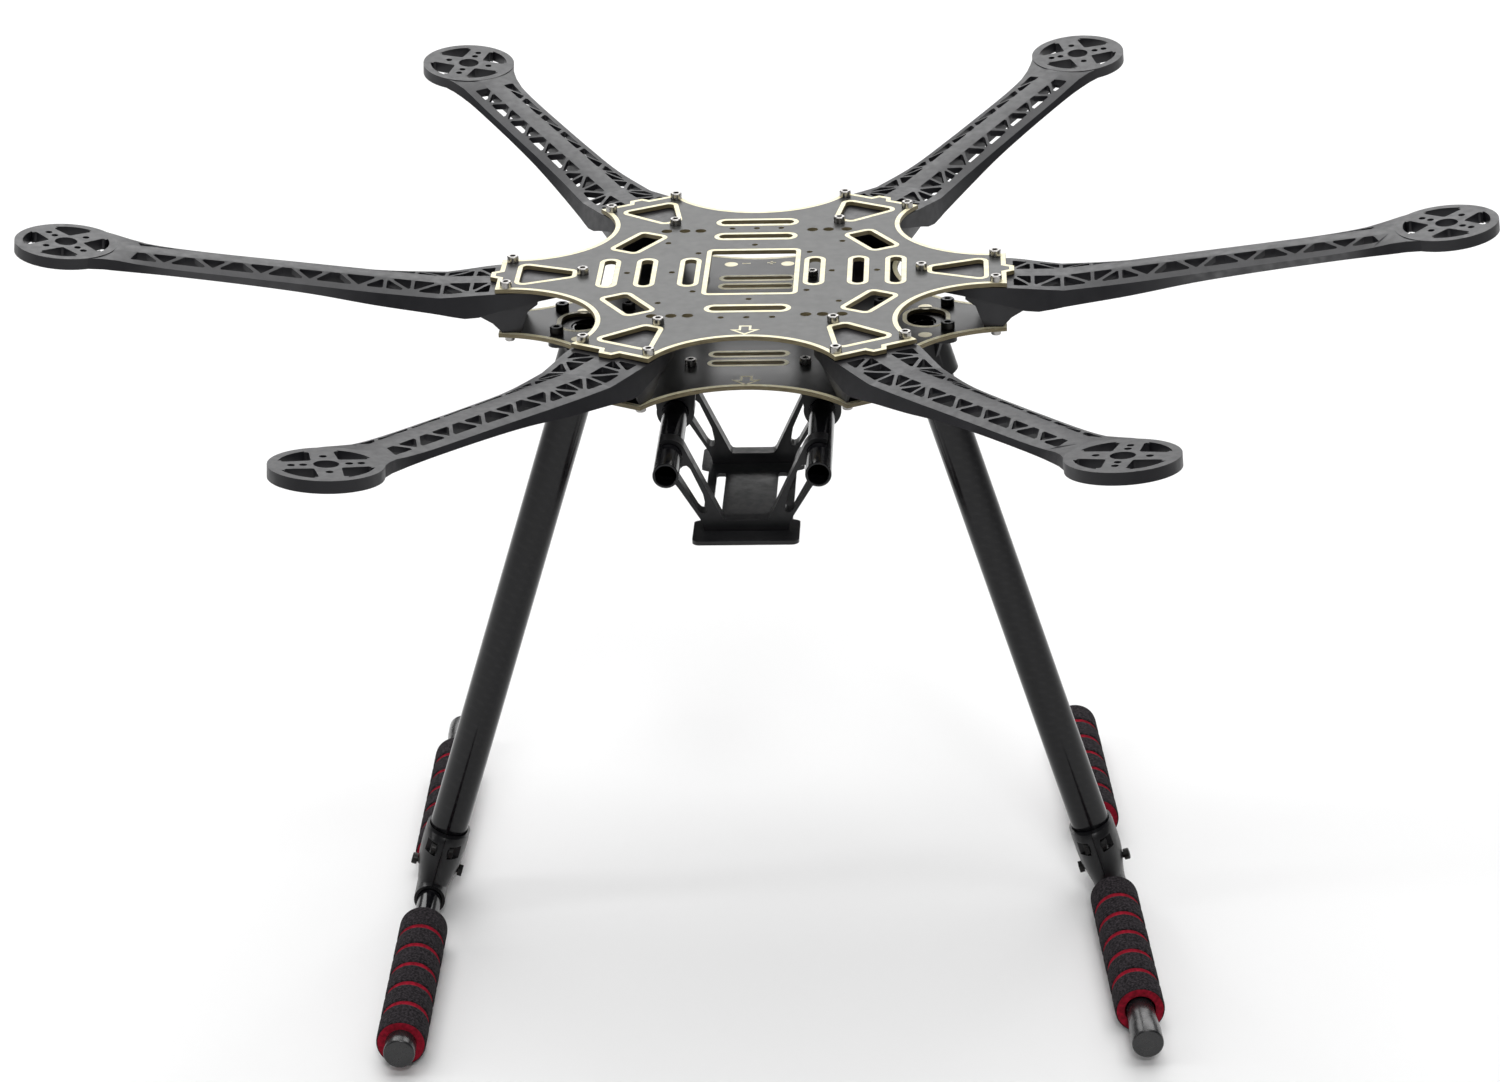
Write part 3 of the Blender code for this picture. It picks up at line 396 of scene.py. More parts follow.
LAMINATE = laminate_material()
BOARD = board_material()
EDGE = edge_material()
PRINT = print_material()
PAD = pad_material()
NYLON = nylon_material()
PLASTIC = plastic_material()
CARBON = carbon_material()
FOAM = foam_material()
FOAM_RED = foam_core_material()
RUBBER = rubber_material()
STEEL = steel_material()
BLACK_STEEL = black_steel_material()


# ---------------------------------------------------------------- outlines and solids
def circle(x, y, radius, count, start=0.0):
    step = 2 * math.pi / count
    return [(x + radius * math.cos(start + step * k), y + radius * math.sin(start + step * k))
            for k in range(count)]


def arc(x, y, radius, first, last, count):
    angles = [math.radians(first + (last - first) * k / (count - 1)) for k in range(count)]
    return [(x + radius * math.cos(a), y + radius * math.sin(a)) for a in angles]


def turned(points, degrees, x=0.0, y=0.0):
    c = math.cos(math.radians(degrees))
    s = math.sin(math.radians(degrees))
    return [(x + c * px - s * py, y + s * px + c * py) for px, py in points]


def slot_outline(x, y, length, width, turn=0.0, corner=None, count=9):
    """A rectangle with round corners, turned by the given degrees."""
    radius = min(length, width) / 2 - 1e-5 if corner is None else corner
    half_x = length / 2 - radius
    half_y = width / 2 - radius
    points = []
    for sx, sy, first in ((1, 1, 0), (-1, 1, 90), (-1, -1, 180), (1, -1, 270)):
        points += arc(sx * half_x, sy * half_y, radius, first, first + 90, count)
    return turned(points, turn, x, y)


def rounded(points, radius, count=6):
    """A convex outline with each corner replaced by an arc; short sides get smaller arcs."""
    result = []
    total = len(points)
    for k in range(total):
        corner = Vector(points[k])
        back = Vector(points[k - 1]) - corner
        ahead = Vector(points[(k + 1) % total]) - corner
        room = min(back.length, ahead.length) * 0.45
        back.normalize()
        ahead.normalize()
        half = back.angle(ahead) / 2
        reach = min(radius / math.tan(half), room)
        size = reach * math.tan(half)
        centre = corner + (back + ahead).normalized() * (size / math.sin(half))
        first = corner + back * reach - centre
        last = corner + ahead * reach - centre
        for step in range(count):
            spoke = first.lerp(last, step / (count - 1)).normalized() * size
            result.append(tuple(centre + spoke))
    return result


def offset(points, distance):
    """A closed outline moved to its left by a distance, with mitred corners."""
    result = []
    total = len(points)
    for k in range(total):
        here = Vector(points[k])
        into = (here - Vector(points[k - 1])).normalized()
        out = (Vector(points[(k + 1) % total]) - here).normalized()
        left = Vector((-into.y - out.y, into.x + out.x))
        if left.length < 1e-6:
            left = Vector((-into.y, into.x))
        left.normalize()
        stretch = max(left.dot(Vector((-into.y, into.x))), 0.4)
        result.append(tuple(here + left * (distance / stretch)))
    return result


def extruded(outlines, low, high):
    """A flat shape between two heights; the first outline is the outside, the others are holes."""
    curve = bpy.data.curves.new("outline", "CURVE")
    curve.dimensions = "2D"
    curve.fill_mode = "BOTH"
    curve.extrude = (high - low) / 2
    for outline in outlines:
        spline = curve.splines.new("POLY")
        spline.points.add(len(outline) - 1)
        for point, (x, y) in zip(spline.points, outline):
            point.co = (x, y, 0.0, 1.0)
        spline.use_cyclic_u = True
    holder = bpy.data.objects.new("outline", curve)
    mesh = bpy.data.meshes.new_from_object(holder)
    bpy.data.objects.remove(holder)
    bm = bmesh.new()
    bm.from_mesh(mesh)
    bmesh.ops.remove_doubles(bm, verts=bm.verts, dist=1e-7)
    bmesh.ops.translate(bm, verts=bm.verts, vec=(0.0, 0.0, (high + low) / 2))
    return bm


def revolved(profile, count):
    """A solid of revolution about Z; points on the axis close it, otherwise it is a ring."""
    bm = bmesh.new()
    rings = []
    for radius, height in profile:
        if radius == 0.0:
            rings.append([bm.verts.new((0.0, 0.0, height))])
        else:
            rings.append([bm.verts.new((x, y, height)) for x, y in circle(0, 0, radius, count)])
    pairs = list(zip(rings, rings[1:]))
    if profile[0][0] > 0.0:
        pairs.append((rings[-1], rings[0]))
    for ring, after in pairs:
        for k in range(count):
            following = (k + 1) % count
            if len(ring) == 1:
                bm.faces.new((ring[0], after[following], after[k]))
            elif len(after) == 1:
                bm.faces.new((ring[k], ring[following], after[0]))
            else:
                bm.faces.new((ring[k], ring[following], after[following], after[k]))
    return bm


def tube(radius, low, high, count=64, edge=0.0002):
    """An open tube along Z with slightly broken edges."""
    bore = radius - TUBE_WALL
    return revolved([
        (radius - edge, low), (radius, low + edge), (radius, high - edge), (radius - edge, high),
        (bore + edge, high), (bore, high - edge), (bore, low + edge), (bore + edge, low),
    ], count)


def loft(sections):
    bm = bmesh.new()
    rows = [[bm.verts.new(point) for point in section] for section in sections]
    count = len(rows[0])
    for row, after in zip(rows, rows[1:]):
        for k in range(count):
            bm.faces.new((row[k], row[(k + 1) % count], after[(k + 1) % count], after[k]))
    bm.faces.new(rows[0])
    bm.faces.new(list(reversed(rows[-1])))
    return bm


def block(low, high):
    outline = ((low[0], low[1]), (high[0], low[1]), (high[0], high[1]), (low[0], high[1]))
    return loft([[(x, y, z) for x, y in outline] for z in (low[2], high[2])])


def shift(x, y, z):
    return Matrix.Translation((x, y, z))


def spin(degrees, axis):
    return Matrix.Rotation(math.radians(degrees), 4, axis)


def placed(bm, matrix):
    bmesh.ops.transform(bm, matrix=matrix, verts=bm.verts)
    return bm


def to_mesh(name, bm):
    bmesh.ops.recalc_face_normals(bm, faces=bm.faces)
    mesh = bpy.data.meshes.new(name)
    bm.to_mesh(mesh)
    bm.free()
    return mesh


def gathered(parts):
    """Several separate solids in one bmesh."""
    bm = bmesh.new()
    for part in parts:
        mesh = to_mesh("part", part)
        bm.from_mesh(mesh)
        bpy.data.meshes.remove(mesh)
    return bm


def as_tool(bm):
    tool = bpy.data.objects.new("tool", to_mesh("tool", bm))
    bpy.context.scene.collection.objects.link(tool)
    return tool


def combined(base, operation, *others):
    """The exact Boolean of a solid with others, as a new bmesh; the inputs are used up."""
    holder = as_tool(base)
    tools = [as_tool(other) for other in others]
    for tool in tools:
        step = holder.modifiers.new("cut", "BOOLEAN")
        step.operation = operation
        step.solver = "EXACT"
        step.object = tool
    graph = bpy.context.evaluated_depsgraph_get()
    mesh = bpy.data.meshes.new_from_object(holder.evaluated_get(graph))
    for used in (holder, *tools):
        bpy.data.objects.remove(used)
    bm = bmesh.new()
    bm.from_mesh(mesh)
    return bm


# ---------------------------------------------------------------- pieces
def piece(name, mesh, materials, body="frame", stands_for=(), matrix=None, bevel=0.0, sharp=35):
    """Adds a finished piece, hides the CAD nodes it stands for and lets it ride on its body."""
    if not mesh.materials:
        for made in materials:
            mesh.materials.append(made)
    mesh.shade_smooth()
    mesh.set_sharp_from_angle(angle=math.radians(sharp))
    thing = bpy.data.objects.new(name, mesh)
    bpy.context.scene.collection.objects.link(thing)
    if matrix is not None:
        thing.matrix_world = matrix
    if bevel > 0.0:
        rim = thing.modifiers.new("edges", "BEVEL")
        rim.width = bevel
        rim.segments = 2
        rim.limit_method = "ANGLE"
        rim.angle_limit = math.radians(32)
        rim.use_clamp_overlap = True
        weigh = thing.modifiers.new("normals", "WEIGHTED_NORMAL")
        weigh.keep_sharp = True
    bpy.context.view_layer.update()
    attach(thing, body)
    if stands_for:
        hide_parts(*stands_for)
    return thing


def stand_in(node, mesh, materials, **how):
    """Adds the detailed piece that takes the place of one CAD node."""
    thing = piece(node + "_detail", mesh, materials, stands_for=(node,), **how)
    return thing


# ---------------------------------------------------------------- plates
def star_outline(half_width, tab):
    """A six-pointed plate: a straight end across each arm and a round bay between arms."""
    corner = Vector((PLATE_END, half_width))
    bisector = Vector((math.cos(math.radians(30)), math.sin(math.radians(30))))
    across = corner.dot(bisector)
    aside = math.sqrt(max(corner.length_squared - across * across, 0.0))
    sag = across - PLATE_BAY
    radius = (aside * aside + sag * sag) / (2 * sag)
    swing = math.degrees(math.asin(aside / radius))
    centre = bisector * (PLATE_BAY + radius)
    sector = []
    if tab:
        root = TAB_HALF_WIDTH + TAB_FLARE
        sector += [(PLATE_END, -root), (PLATE_END + TAB_LENGTH, -TAB_HALF_WIDTH)]
        sector += [(PLATE_END + TAB_LENGTH, TAB_HALF_WIDTH), (PLATE_END, root)]
    sector += arc(centre.x, centre.y, radius, 210 + swing, 210 - swing, 33)
    outline = []
    for k in range(6):
        outline += turned(sector, 60 * k)
    return outline


def plate_mesh(name, outlines, low, high, surface):
    """A flat plate whose cut edges show the raw laminate."""
    mesh = to_mesh(name, extruded(outlines, low, high))
    mesh.materials.append(surface)
    mesh.materials.append(EDGE)
    for face in mesh.polygons:
        if abs(face.normal.z) < 0.5:
            face.material_index = 1
    return mesh


def border(outline, outside=False, width=BORDER_WIDTH):
    """The printed band beside a plate's outline or around one of its cut-outs."""
    away = 1 if outside else -1
    near = offset(outline, away * BORDER_MARGIN)
    far = offset(outline, away * (BORDER_MARGIN + width))
    return [near, far] if outside else [far, near]


def make_print(name, shapes, height, surface):
    """Flat printed shapes that stand a hair above a plate."""
    layers = [extruded(shape, height, height + PRINT_THICKNESS) for shape in shapes]
    thing = piece(name, to_mesh(name, gathered(layers)), (surface,))


def top_plate_cutouts():
    """Middle opening, long slots, four slanted slots and a window over each arm's root."""
    outlines = [slot_outline(0, 0, 0.034, 0.050, corner=0.0012)]
    for y in (0.060, 0.0425, -0.0425):
        outlines.append(slot_outline(0, y, 0.030, 0.0048))
    for x in (0.025, 0.0425, 0.0575):
        for side in (-1, 1):
            outlines.append(slot_outline(side * x, 0, 0.0045, 0.030))
    for sx in (-1, 1):
        for sy in (-1, 1):
            outlines.append(slot_outline(sx * 0.0475, sy * 0.0362, 0.0215, 0.0100,
                                         turn=-60 * sx * sy, corner=0.0015))
    corners = [(0.0720, -0.0030), (0.0925, -0.0112), (0.0925, 0.0112), (0.0720, 0.0030)]
    for angle in ARM_ANGLES.values():
        outlines.append(turned(rounded(corners, 0.0018), angle))
    return outlines


def top_plate_holes():
    small = [(0.0, -0.032), (0.0, 0.032), (0.0, 0.0525), (0.0, -0.0525)]
    large = []
    for sx in (-1, 1):
        small += [(sx * 0.050, 0.0), (sx * 0.032, 0.0)]
        for sy in (-1, 1):
            small += [(sx * 0.0355, sy * 0.0353), (sx * 0.0225, sy * 0.0225), (sx * 0.010, sy * 0.0525)]
            large += [(sx * 0.0230, sy * 0.050), (sx * 0.0295, sy * 0.050), (sx * 0.0370, sy * 0.050)]
    holes = [circle(x, y, SMALL_HOLE, 16) for x, y in small]
    holes += [circle(x, y, LARGE_HOLE, 20) for x, y in large]
    return holes


def arrow_outline(y):
    """An outlined arrow that points to the front, as a ring of two outlines."""
    shape = [(0.0, -0.0052), (0.0058, 0.0004), (0.0024, 0.0004), (0.0024, 0.0046),
             (-0.0024, 0.0046), (-0.0024, 0.0004), (-0.0058, 0.0004)]
    outer = [(px, y + py) for px, py in shape]
    return [outer, offset(outer, 0.0009)]


def make_top_plate():
    outline = star_outline(TOP_PLATE_HALF_WIDTH, True)
    cutouts = top_plate_cutouts()
    outlines = [outline, *cutouts, *top_plate_holes()]
    mesh = plate_mesh("top_plate_detail", outlines, TOP_PLATE_LOW, TOP_PLATE_HIGH, LAMINATE)
    stand_in("top_plate", mesh, ())
    bands = [border(cut) for cut in cutouts] + [border(outline, outside=True)]
    bands.append(arrow_outline(-0.0665))
    make_print("top_plate_print", bands, TOP_PLATE_HIGH, PRINT)


def bar_mark(x, y, length, width):
    """A printed bar; one makes a minus and two make a plus."""
    return [[(x - length / 2, y - width / 2), (x + length / 2, y - width / 2),
             (x + length / 2, y + width / 2), (x - length / 2, y + width / 2)]]


def make_bottom_plate():
    outline = star_outline(BOARD_HALF_WIDTH, False)
    cutouts = [slot_outline(0, y, 0.0285, 0.0036) for y in BOARD_SLOTS]
    cutouts += [slot_outline(side * LEG_BAY_X, 0, 0.0155, 0.0200, corner=0.0077) for side in (-1, 1)]
    mesh = plate_mesh("bottom_plate_detail", [outline, *cutouts], BOARD_LOW, BOARD_HIGH, BOARD)
    stand_in("bottom_plate", mesh, ())
    bands = [border(cut, width=BOARD_SLOT_BORDER_WIDTH) for cut in cutouts]
    bands += [border(outline, outside=True), arrow_outline(-0.0675)]
    bands += [bar_mark(-0.0055, 0.0668, 0.0036, 0.0009)]
    bands += [bar_mark(0.0050, 0.0673, 0.0036, 0.0009), bar_mark(0.0050, 0.0673, 0.0009, 0.0036)]
    make_print("bottom_plate_print", bands, BOARD_HIGH, PRINT)
    pads = [[circle(side * 0.01175, 0.0658, 0.00275, 32)] for side in (-1, 1)]
    pads += [[circle(side * 0.069, y, 0.0028, 28)] for side in (-1, 1) for y in (0.012, -0.020)]
    make_print("solder_pads", pads, BOARD_HIGH, PAD)


# ---------------------------------------------------------------- arms
# Stations along an arm: radius, half width, drop of the shoulders below the spine, underside height
# below the hub's top, and half width of the underside.
ARM_STATIONS = (
    (0.0620, 0.0060, 0.0000, 0.0215, 0.0060),
    (0.0700, 0.0100, 0.0000, 0.0215, 0.0100),
    (0.0840, 0.0174, 0.0000, 0.0219, 0.0174),
    (0.0930, 0.0177, 0.0000, 0.0240, 0.0178),
    (0.1035, 0.0178, 0.0002, 0.0266, 0.0184),
    (0.1085, 0.0174, 0.0006, 0.0281, 0.0186),
    (0.1140, 0.0168, 0.0012, 0.0286, 0.0184),
    (0.1250, 0.0157, 0.0022, 0.0270, 0.0172),
    (0.1500, 0.0133, 0.0034, 0.0236, 0.0148),
    (0.1750, 0.0125, 0.0034, 0.0188, 0.0140),
    (0.2000, 0.0122, 0.0032, 0.0149, 0.0136),
    (0.2300, 0.0121, 0.0028, 0.0108, 0.0134),
    (0.2450, 0.0123, 0.0020, 0.0090, 0.0134),
    (0.2520, 0.0131, 0.0010, 0.0080, 0.0140),
    (0.2580, 0.0147, 0.0003, 0.0068, 0.0152),
    (0.2640, 0.0168, 0.0000, 0.0059, 0.0168),
)
# Stations of the foot block under an arm's root: radius, half width at its top, underside height below
# the hub's top, and half width of the underside.
FOOT_STATIONS = (
    (0.0850, 0.0160, 0.0240, 0.0155),
    (0.0890, 0.0160, 0.0270, 0.0150),
    (0.0925, 0.0160, 0.0367, 0.0125),
    (0.1000, 0.0160, 0.0367, 0.0125),
    (0.1035, 0.0158, 0.0325, 0.0135),
    (0.1080, 0.0154, 0.0294, 0.0145),
    (0.1135, 0.0146, 0.0271, 0.0144),
)
FOOT_TOP = 0.0200
FOOT_KNEE = 0.0262  # depth below the hub's top where the foot starts to slant inwards
CAVITY_KNEE = 0.0255
SPINE_HALF_WIDTH = 0.0038
SPINE_THICKNESS = 0.0022
SHOULDER_THICKNESS = 0.0020
WEB_HALF_WIDTH = 0.0030
ARM_WALL = 0.0018
RIM_WIDTH = 0.0026  # from the arm's edge to the middle of the outer ends of the ribs
CAVITY_START = 0.0950
CAVITY_END = 0.2490
TRUSS_RIB = 0.0014
ROOT_CELLS = (0.1035, 0.1118, 0.1235, 0.1355, 0.1465)
ZIGZAG_START = 0.1570
TRUSS_PITCH = 0.0194
TRUSS_BAYS = 5
TRUSS_PEAK = 0.0021
WINDOW_CORNER = 0.0006
SMOOTH_FROM = 0.1080  # from here outwards the stations are joined by smooth curves
ARM_STEP = 0.004


def arm_value(radius, column):
    """A station value at any radius: straight near the root, a smooth cubic further out."""
    last = len(ARM_STATIONS) - 1
    k = 0
    while k < last - 1 and radius > ARM_STATIONS[k + 1][0]:
        k += 1
    row, after = ARM_STATIONS[k], ARM_STATIONS[k + 1]
    span = after[0] - row[0]
    share = min((radius - row[0]) / span, 1.0)
    if row[0] < SMOOTH_FROM:
        return row[column] + share * (after[column] - row[column])
    before = ARM_STATIONS[k - 1]
    beyond = ARM_STATIONS[min(k + 2, last)]
    start = (after[column] - before[column]) / (after[0] - before[0]) * span
    end = (beyond[column] - row[column]) / (beyond[0] - row[0]) * span
    t2, t3 = share ** 2, share ** 3
    return ((2 * t3 - 3 * t2 + 1) * row[column] + (t3 - 2 * t2 + share) * start
            + (3 * t2 - 2 * t3) * after[column] + (t3 - t2) * end)


def station_value(stations, radius, column):
    """A value from a table of stations at any radius, by straight interpolation."""
    for row, after in zip(stations, stations[1:]):
        if radius <= after[0]:
            share = (radius - row[0]) / (after[0] - row[0])
            return row[column] + share * (after[column] - row[column])
    return stations[-1][column]


def spine_height(radius):
    if radius <= ARM_BEND:
        return ARM_ROOT_TOP
    share = (radius - ARM_BEND) / (HUB_RADIUS_FROM_CENTRE - ARM_BEND)
    return ARM_ROOT_TOP + share * (HUB_HEIGHT - HUB_LIP - ARM_ROOT_TOP)


def mirrored(radius, right):
    """A closed section at a radius from its right half, given from below upwards."""
    left = [(-y, z) for y, z in reversed(right)]
    return [(radius, y, z) for y, z in right + left]


def arm_section(radius):
    """Outer section of an arm's beam at a radius, from the right underside over the spine to the left."""
    half = arm_value(radius, 1)
    spine = spine_height(radius)
    shoulder = spine - arm_value(radius, 2)
    under = HUB_HEIGHT - arm_value(radius, 3)
    crown = min(SPINE_HALF_WIDTH, half * 0.6)
    return mirrored(radius, [(arm_value(radius, 4), under), (half, shoulder), (crown, spine)])


def foot_section(radius):
    """Section of the foot block: straight sides that slant inwards below the knee."""
    half = station_value(FOOT_STATIONS, radius, 1)
    under = HUB_HEIGHT - station_value(FOOT_STATIONS, radius, 2)
    knee = max(under + 0.0002, HUB_HEIGHT - FOOT_KNEE)
    bottom = station_value(FOOT_STATIONS, radius, 3)
    return mirrored(radius, [(bottom, under), (half, knee), (half, HUB_HEIGHT - FOOT_TOP)])


def cavity_section(radius, side):
    """Section of the hollow on one side of an arm's central web, open to below."""
    roof = spine_height(radius) - SPINE_THICKNESS
    shoulder = spine_height(radius) - arm_value(radius, 2) - SHOULDER_THICKNESS
    half = arm_value(radius, 1) - ARM_WALL
    bottom = knee = arm_value(radius, 4) - ARM_WALL
    under = HUB_HEIGHT - arm_value(radius, 3)
    knee_height = under + 0.0001
    if radius <= FOOT_STATIONS[-1][0]:
        half = knee = min(half, station_value(FOOT_STATIONS, radius, 1) - ARM_WALL)
        bottom = min(half - 0.0001, station_value(FOOT_STATIONS, radius, 3) - ARM_WALL)
        under = HUB_HEIGHT - station_value(FOOT_STATIONS, radius, 2)
        knee_height = max(under + 0.0001, HUB_HEIGHT - CAVITY_KNEE)
    points = [(WEB_HALF_WIDTH, under - 0.004), (bottom, under - 0.004), (knee, knee_height)]
    points += [(half, shoulder), (WEB_HALF_WIDTH, roof)]
    return [(radius, side * y, z) for y, z in points]


def arm_radii(start, end):
    """Radii for the sections of an arm: every station, with more between them where it curves."""
    radii = {start, end}
    for row, after in zip(ARM_STATIONS, ARM_STATIONS[1:]):
        radii.update({row[0], after[0]})
        if row[0] >= SMOOTH_FROM:
            steps = max(int((after[0] - row[0]) / ARM_STEP), 1)
            for k in range(1, steps):
                radii.add(row[0] + (after[0] - row[0]) * k / steps)
    radii.add(ARM_BEND)
    return sorted(radius for radius in radii if start <= radius <= end)


def truss_windows():
    """Outlines of the triangular windows on one side of an arm."""
    def inner(u):
        return (u, SPINE_HALF_WIDTH - 0.0005)

    def outer(u):
        return (u, arm_value(u, 1) - RIM_WIDTH)

    windows = []
    for k, (start, end) in enumerate(zip(ROOT_CELLS, ROOT_CELLS[1:])):
        if k % 2:
            windows.append([inner(start), inner(end), outer(start)])
            windows.append([inner(end), outer(end), outer(start)])
        else:
            windows.append([inner(start), inner(end), outer(end)])
            windows.append([inner(start), outer(end), outer(start)])
    last = ROOT_CELLS[-1]
    windows.append([inner(last), outer(ZIGZAG_START), outer(last)])
    for k in range(TRUSS_BAYS):
        left = ZIGZAG_START + TRUSS_PITCH * k
        right = CAVITY_END if k == TRUSS_BAYS - 1 else left + TRUSS_PITCH
        peak = left + TRUSS_PITCH / 2
        before = last + 0.001 if k == 0 else peak - TRUSS_PITCH + TRUSS_PEAK
        windows.append([inner(before), inner(peak - TRUSS_PEAK), outer(left)])
        windows.append([inner(peak - TRUSS_PEAK), inner(peak + TRUSS_PEAK), outer(right), outer(left)])
    return [rounded(inset(window, TRUSS_RIB / 2), WINDOW_CORNER, 4) for window in windows]


def inset(points, distance):
    """A convex outline, counter-clockwise, with every side moved inwards."""
    total = len(points)
    lines = []
    for k in range(total):
        start = Vector(points[k])
        side = (Vector(points[(k + 1) % total]) - start).normalized()
        lines.append((start + Vector((-side.y, side.x)) * distance, side))
    result = []
    for k in range(total):
        base, side = lines[k - 1]
        other, turn = lines[k]
        reach = (other - base).cross(turn) / side.cross(turn)
        result.append(tuple(base + side * reach))
    return result


def hub_outlines():
    """Motor hub seen along its axis: rim, four windows, centre hole and screw holes."""
    outlines = [circle(0, 0, HUB_RADIUS, 72)]
    half = 45 - math.degrees(math.asin(HUB_SPOKE / HUB_WINDOW_REACH))
    for k in range(4):
        inner = (HUB_SPOKE * math.sqrt(2) + 0.0008, 0.0)
        corners = [inner] + arc(0, 0, HUB_WINDOW_REACH, -half, half, 2)
        rim = arc(0, 0, HUB_WINDOW_REACH, 5 - half, half - 5, 9)
        soft = [p for p in rounded(corners, 0.0010, 5) if math.hypot(*p) < HUB_WINDOW_REACH * 0.965]
        outlines.append(turned(sorted_about(soft + rim), 90 * k))
    outlines.append(circle(0, 0, HUB_BORE, 32))
    for turn, radii in MOTOR_SCREWS:
        for radius in radii:
            x, y = turned([(radius, 0.0)], turn)[0]
            outlines.append(circle(x, y, MOTOR_SCREW_HOLE, 16))
    return outlines


def sorted_about(points):
    """Points of a convex shape in counter-clockwise order."""
    middle = sum((Vector(p) for p in points), Vector((0.0, 0.0))) / len(points)
    return sorted(points, key=lambda p: math.atan2(p[1] - middle.y, p[0] - middle.x))


def arm_mesh():
    """One arm along +X: beam and foot, hollowed from below, with its hub and all its windows."""
    beam = loft([arm_section(radius) for radius in arm_radii(ARM_STATIONS[0][0], ARM_STATIONS[-1][0])])
    foot = loft([foot_section(row[0]) for row in FOOT_STATIONS])
    inside = {row[0] for row in FOOT_STATIONS if row[0] > CAVITY_START}
    radii = sorted(inside | set(arm_radii(CAVITY_START, CAVITY_END)))
    cavities = [loft([cavity_section(radius, side) for radius in radii]) for side in (-1, 1)]
    tilt = math.atan((HUB_HEIGHT - ARM_ROOT_TOP) / (HUB_RADIUS_FROM_CENTRE - ARM_BEND))
    to_hub = shift(HUB_RADIUS_FROM_CENTRE, 0, HUB_HEIGHT) @ Matrix.Rotation(-tilt, 4, "Y")
    cutters = []
    for side in (1, -1):
        for window in truss_windows():
            outline = [(u, side * v) for u, v in window]
            cutters.append(extruded([outline], HUB_HEIGHT - 0.0245, HUB_HEIGHT + 0.002))
    hollow = combined(combined(beam, "UNION", foot), "DIFFERENCE", *cavities)
    rim, *openings = hub_outlines()
    whole = combined(hollow, "UNION", placed(extruded([rim], -HUB_THICKNESS, 0.0), to_hub))
    for outline in openings:
        cutters.append(placed(extruded([outline], -HUB_THICKNESS - 0.004, 0.003), to_hub))
    return to_mesh("arm_detail", combined(whole, "DIFFERENCE", gathered(cutters)))


def make_arms():
    mesh = arm_mesh()
    for name, angle in ARM_ANGLES.items():
        turn = spin(angle, "Z")
        stand_in(name, mesh, (NYLON,), matrix=turn, bevel=0.00025, sharp=30)


# ---------------------------------------------------------------- screws
def cap_screw(head_radius, head_height, radius, length, socket=0.55):
    """Socket-head screw: chamfered head on height 0, hexagonal socket, plain shank below."""
    chamfer = head_radius * 0.14
    profile = [
        (0.0, 0.0), (head_radius - 0.0001, 0.0), (head_radius, 0.0001),
        (head_radius, head_height - chamfer), (head_radius - chamfer, head_height), (0.0, head_height),
    ]
    head = revolved(list(reversed(profile)), 32)
    hexagon = extruded([circle(0, 0, head_radius * socket, 6)], head_height * 0.4, head_height + 0.001)
    head = combined(head, "DIFFERENCE", hexagon)
    shank = revolved([(0.0, -0.00002), (radius, -0.00002), (radius, -length), (0.0, -length)], 16)
    return to_mesh("cap_screw", gathered([head, shank]))


def make_arm_screws():
    mesh = cap_screw(0.00235, 0.0026, 0.00125, 0.0070)
    for arm, angle in ARM_ANGLES.items():
        for place, (along_arm, across) in ARM_SCREWS.items():
            x, y = turned([(along_arm, across)], angle)[0]
            node = arm.replace("arm_", "arm_screw_") + "_" + place
            spot = shift(x, y, TOP_PLATE_HIGH + PRINT_THICKNESS + HAIR)
            stand_in(node, mesh, (STEEL,), matrix=spot)


def loose_screw(name, mesh, surface, spot):
    """A screw that has no CAD node of its own."""
    thing = piece(name, mesh, (surface,), matrix=spot)


def make_board_screws():
    """Screws of the leg seats and rail clips, on top of the bottom plate."""
    seat = cap_screw(0.00275, 0.0030, 0.0014, 0.0040)
    above = BOARD_HIGH + PRINT_THICKNESS + HAIR
    corners = [(sx, sy) for sx in (-1, 1) for sy in (-1, 1)]
    for side, word in SIDES:
        for k, (sx, sy) in enumerate(corners, 1):
            x = side * LEG_TOP_X + sx * SEAT_SCREW_OFFSET
            spot = shift(x, sy * SEAT_SCREW_OFFSET, above)
            loose_screw(f"seat_screw_{word}_{k}", seat, BLACK_STEEL, spot)
            x = side * RAIL_X + sx * CLIP_SCREW_OFFSET
            spot = shift(x, sy * CLIP_Y, above)
            metal = STEEL if sx * side < 0 else BLACK_STEEL
            loose_screw(f"clip_screw_{word}_{k}", cap_screw(0.00235, 0.0026, 0.00125, 0.0040), metal, spot)


def make_foot_screws():
    """Two screws under each arm's foot, heads down, below the bottom plate."""
    mesh = cap_screw(0.00200, 0.0020, 0.00110, 0.0014, socket=0.6)
    for arm, angle in ARM_ANGLES.items():
        for k, (along_arm, across) in enumerate(FOOT_SCREWS):
            x, y = turned([(along_arm, across)], angle)[0]
            spot = shift(x, y, BOARD_LOW - 3 * HAIR) @ spin(180, "X")
            loose_screw(f"foot_screw_{arm[4:]}_{k}", mesh, STEEL, spot)


# ---------------------------------------------------------------- landing gear
def leg_frame(side):
    """Frame of a leg: its origin on the skid's axis, +Z up along the leaning tube."""
    lean = -side * LEG_LEAN
    return shift(side * SKID_X, 0, SKID_HEIGHT) @ Matrix.Rotation(lean, 4, "Y")


def skid_frame(side):
    """Frame of a skid where its leg meets it, with +Y backwards along the tube."""
    turn = SKID_TURN["left" if side < 0 else "right"]
    return shift(side * SKID_X, 0, SKID_HEIGHT) @ spin(turn, "Z")


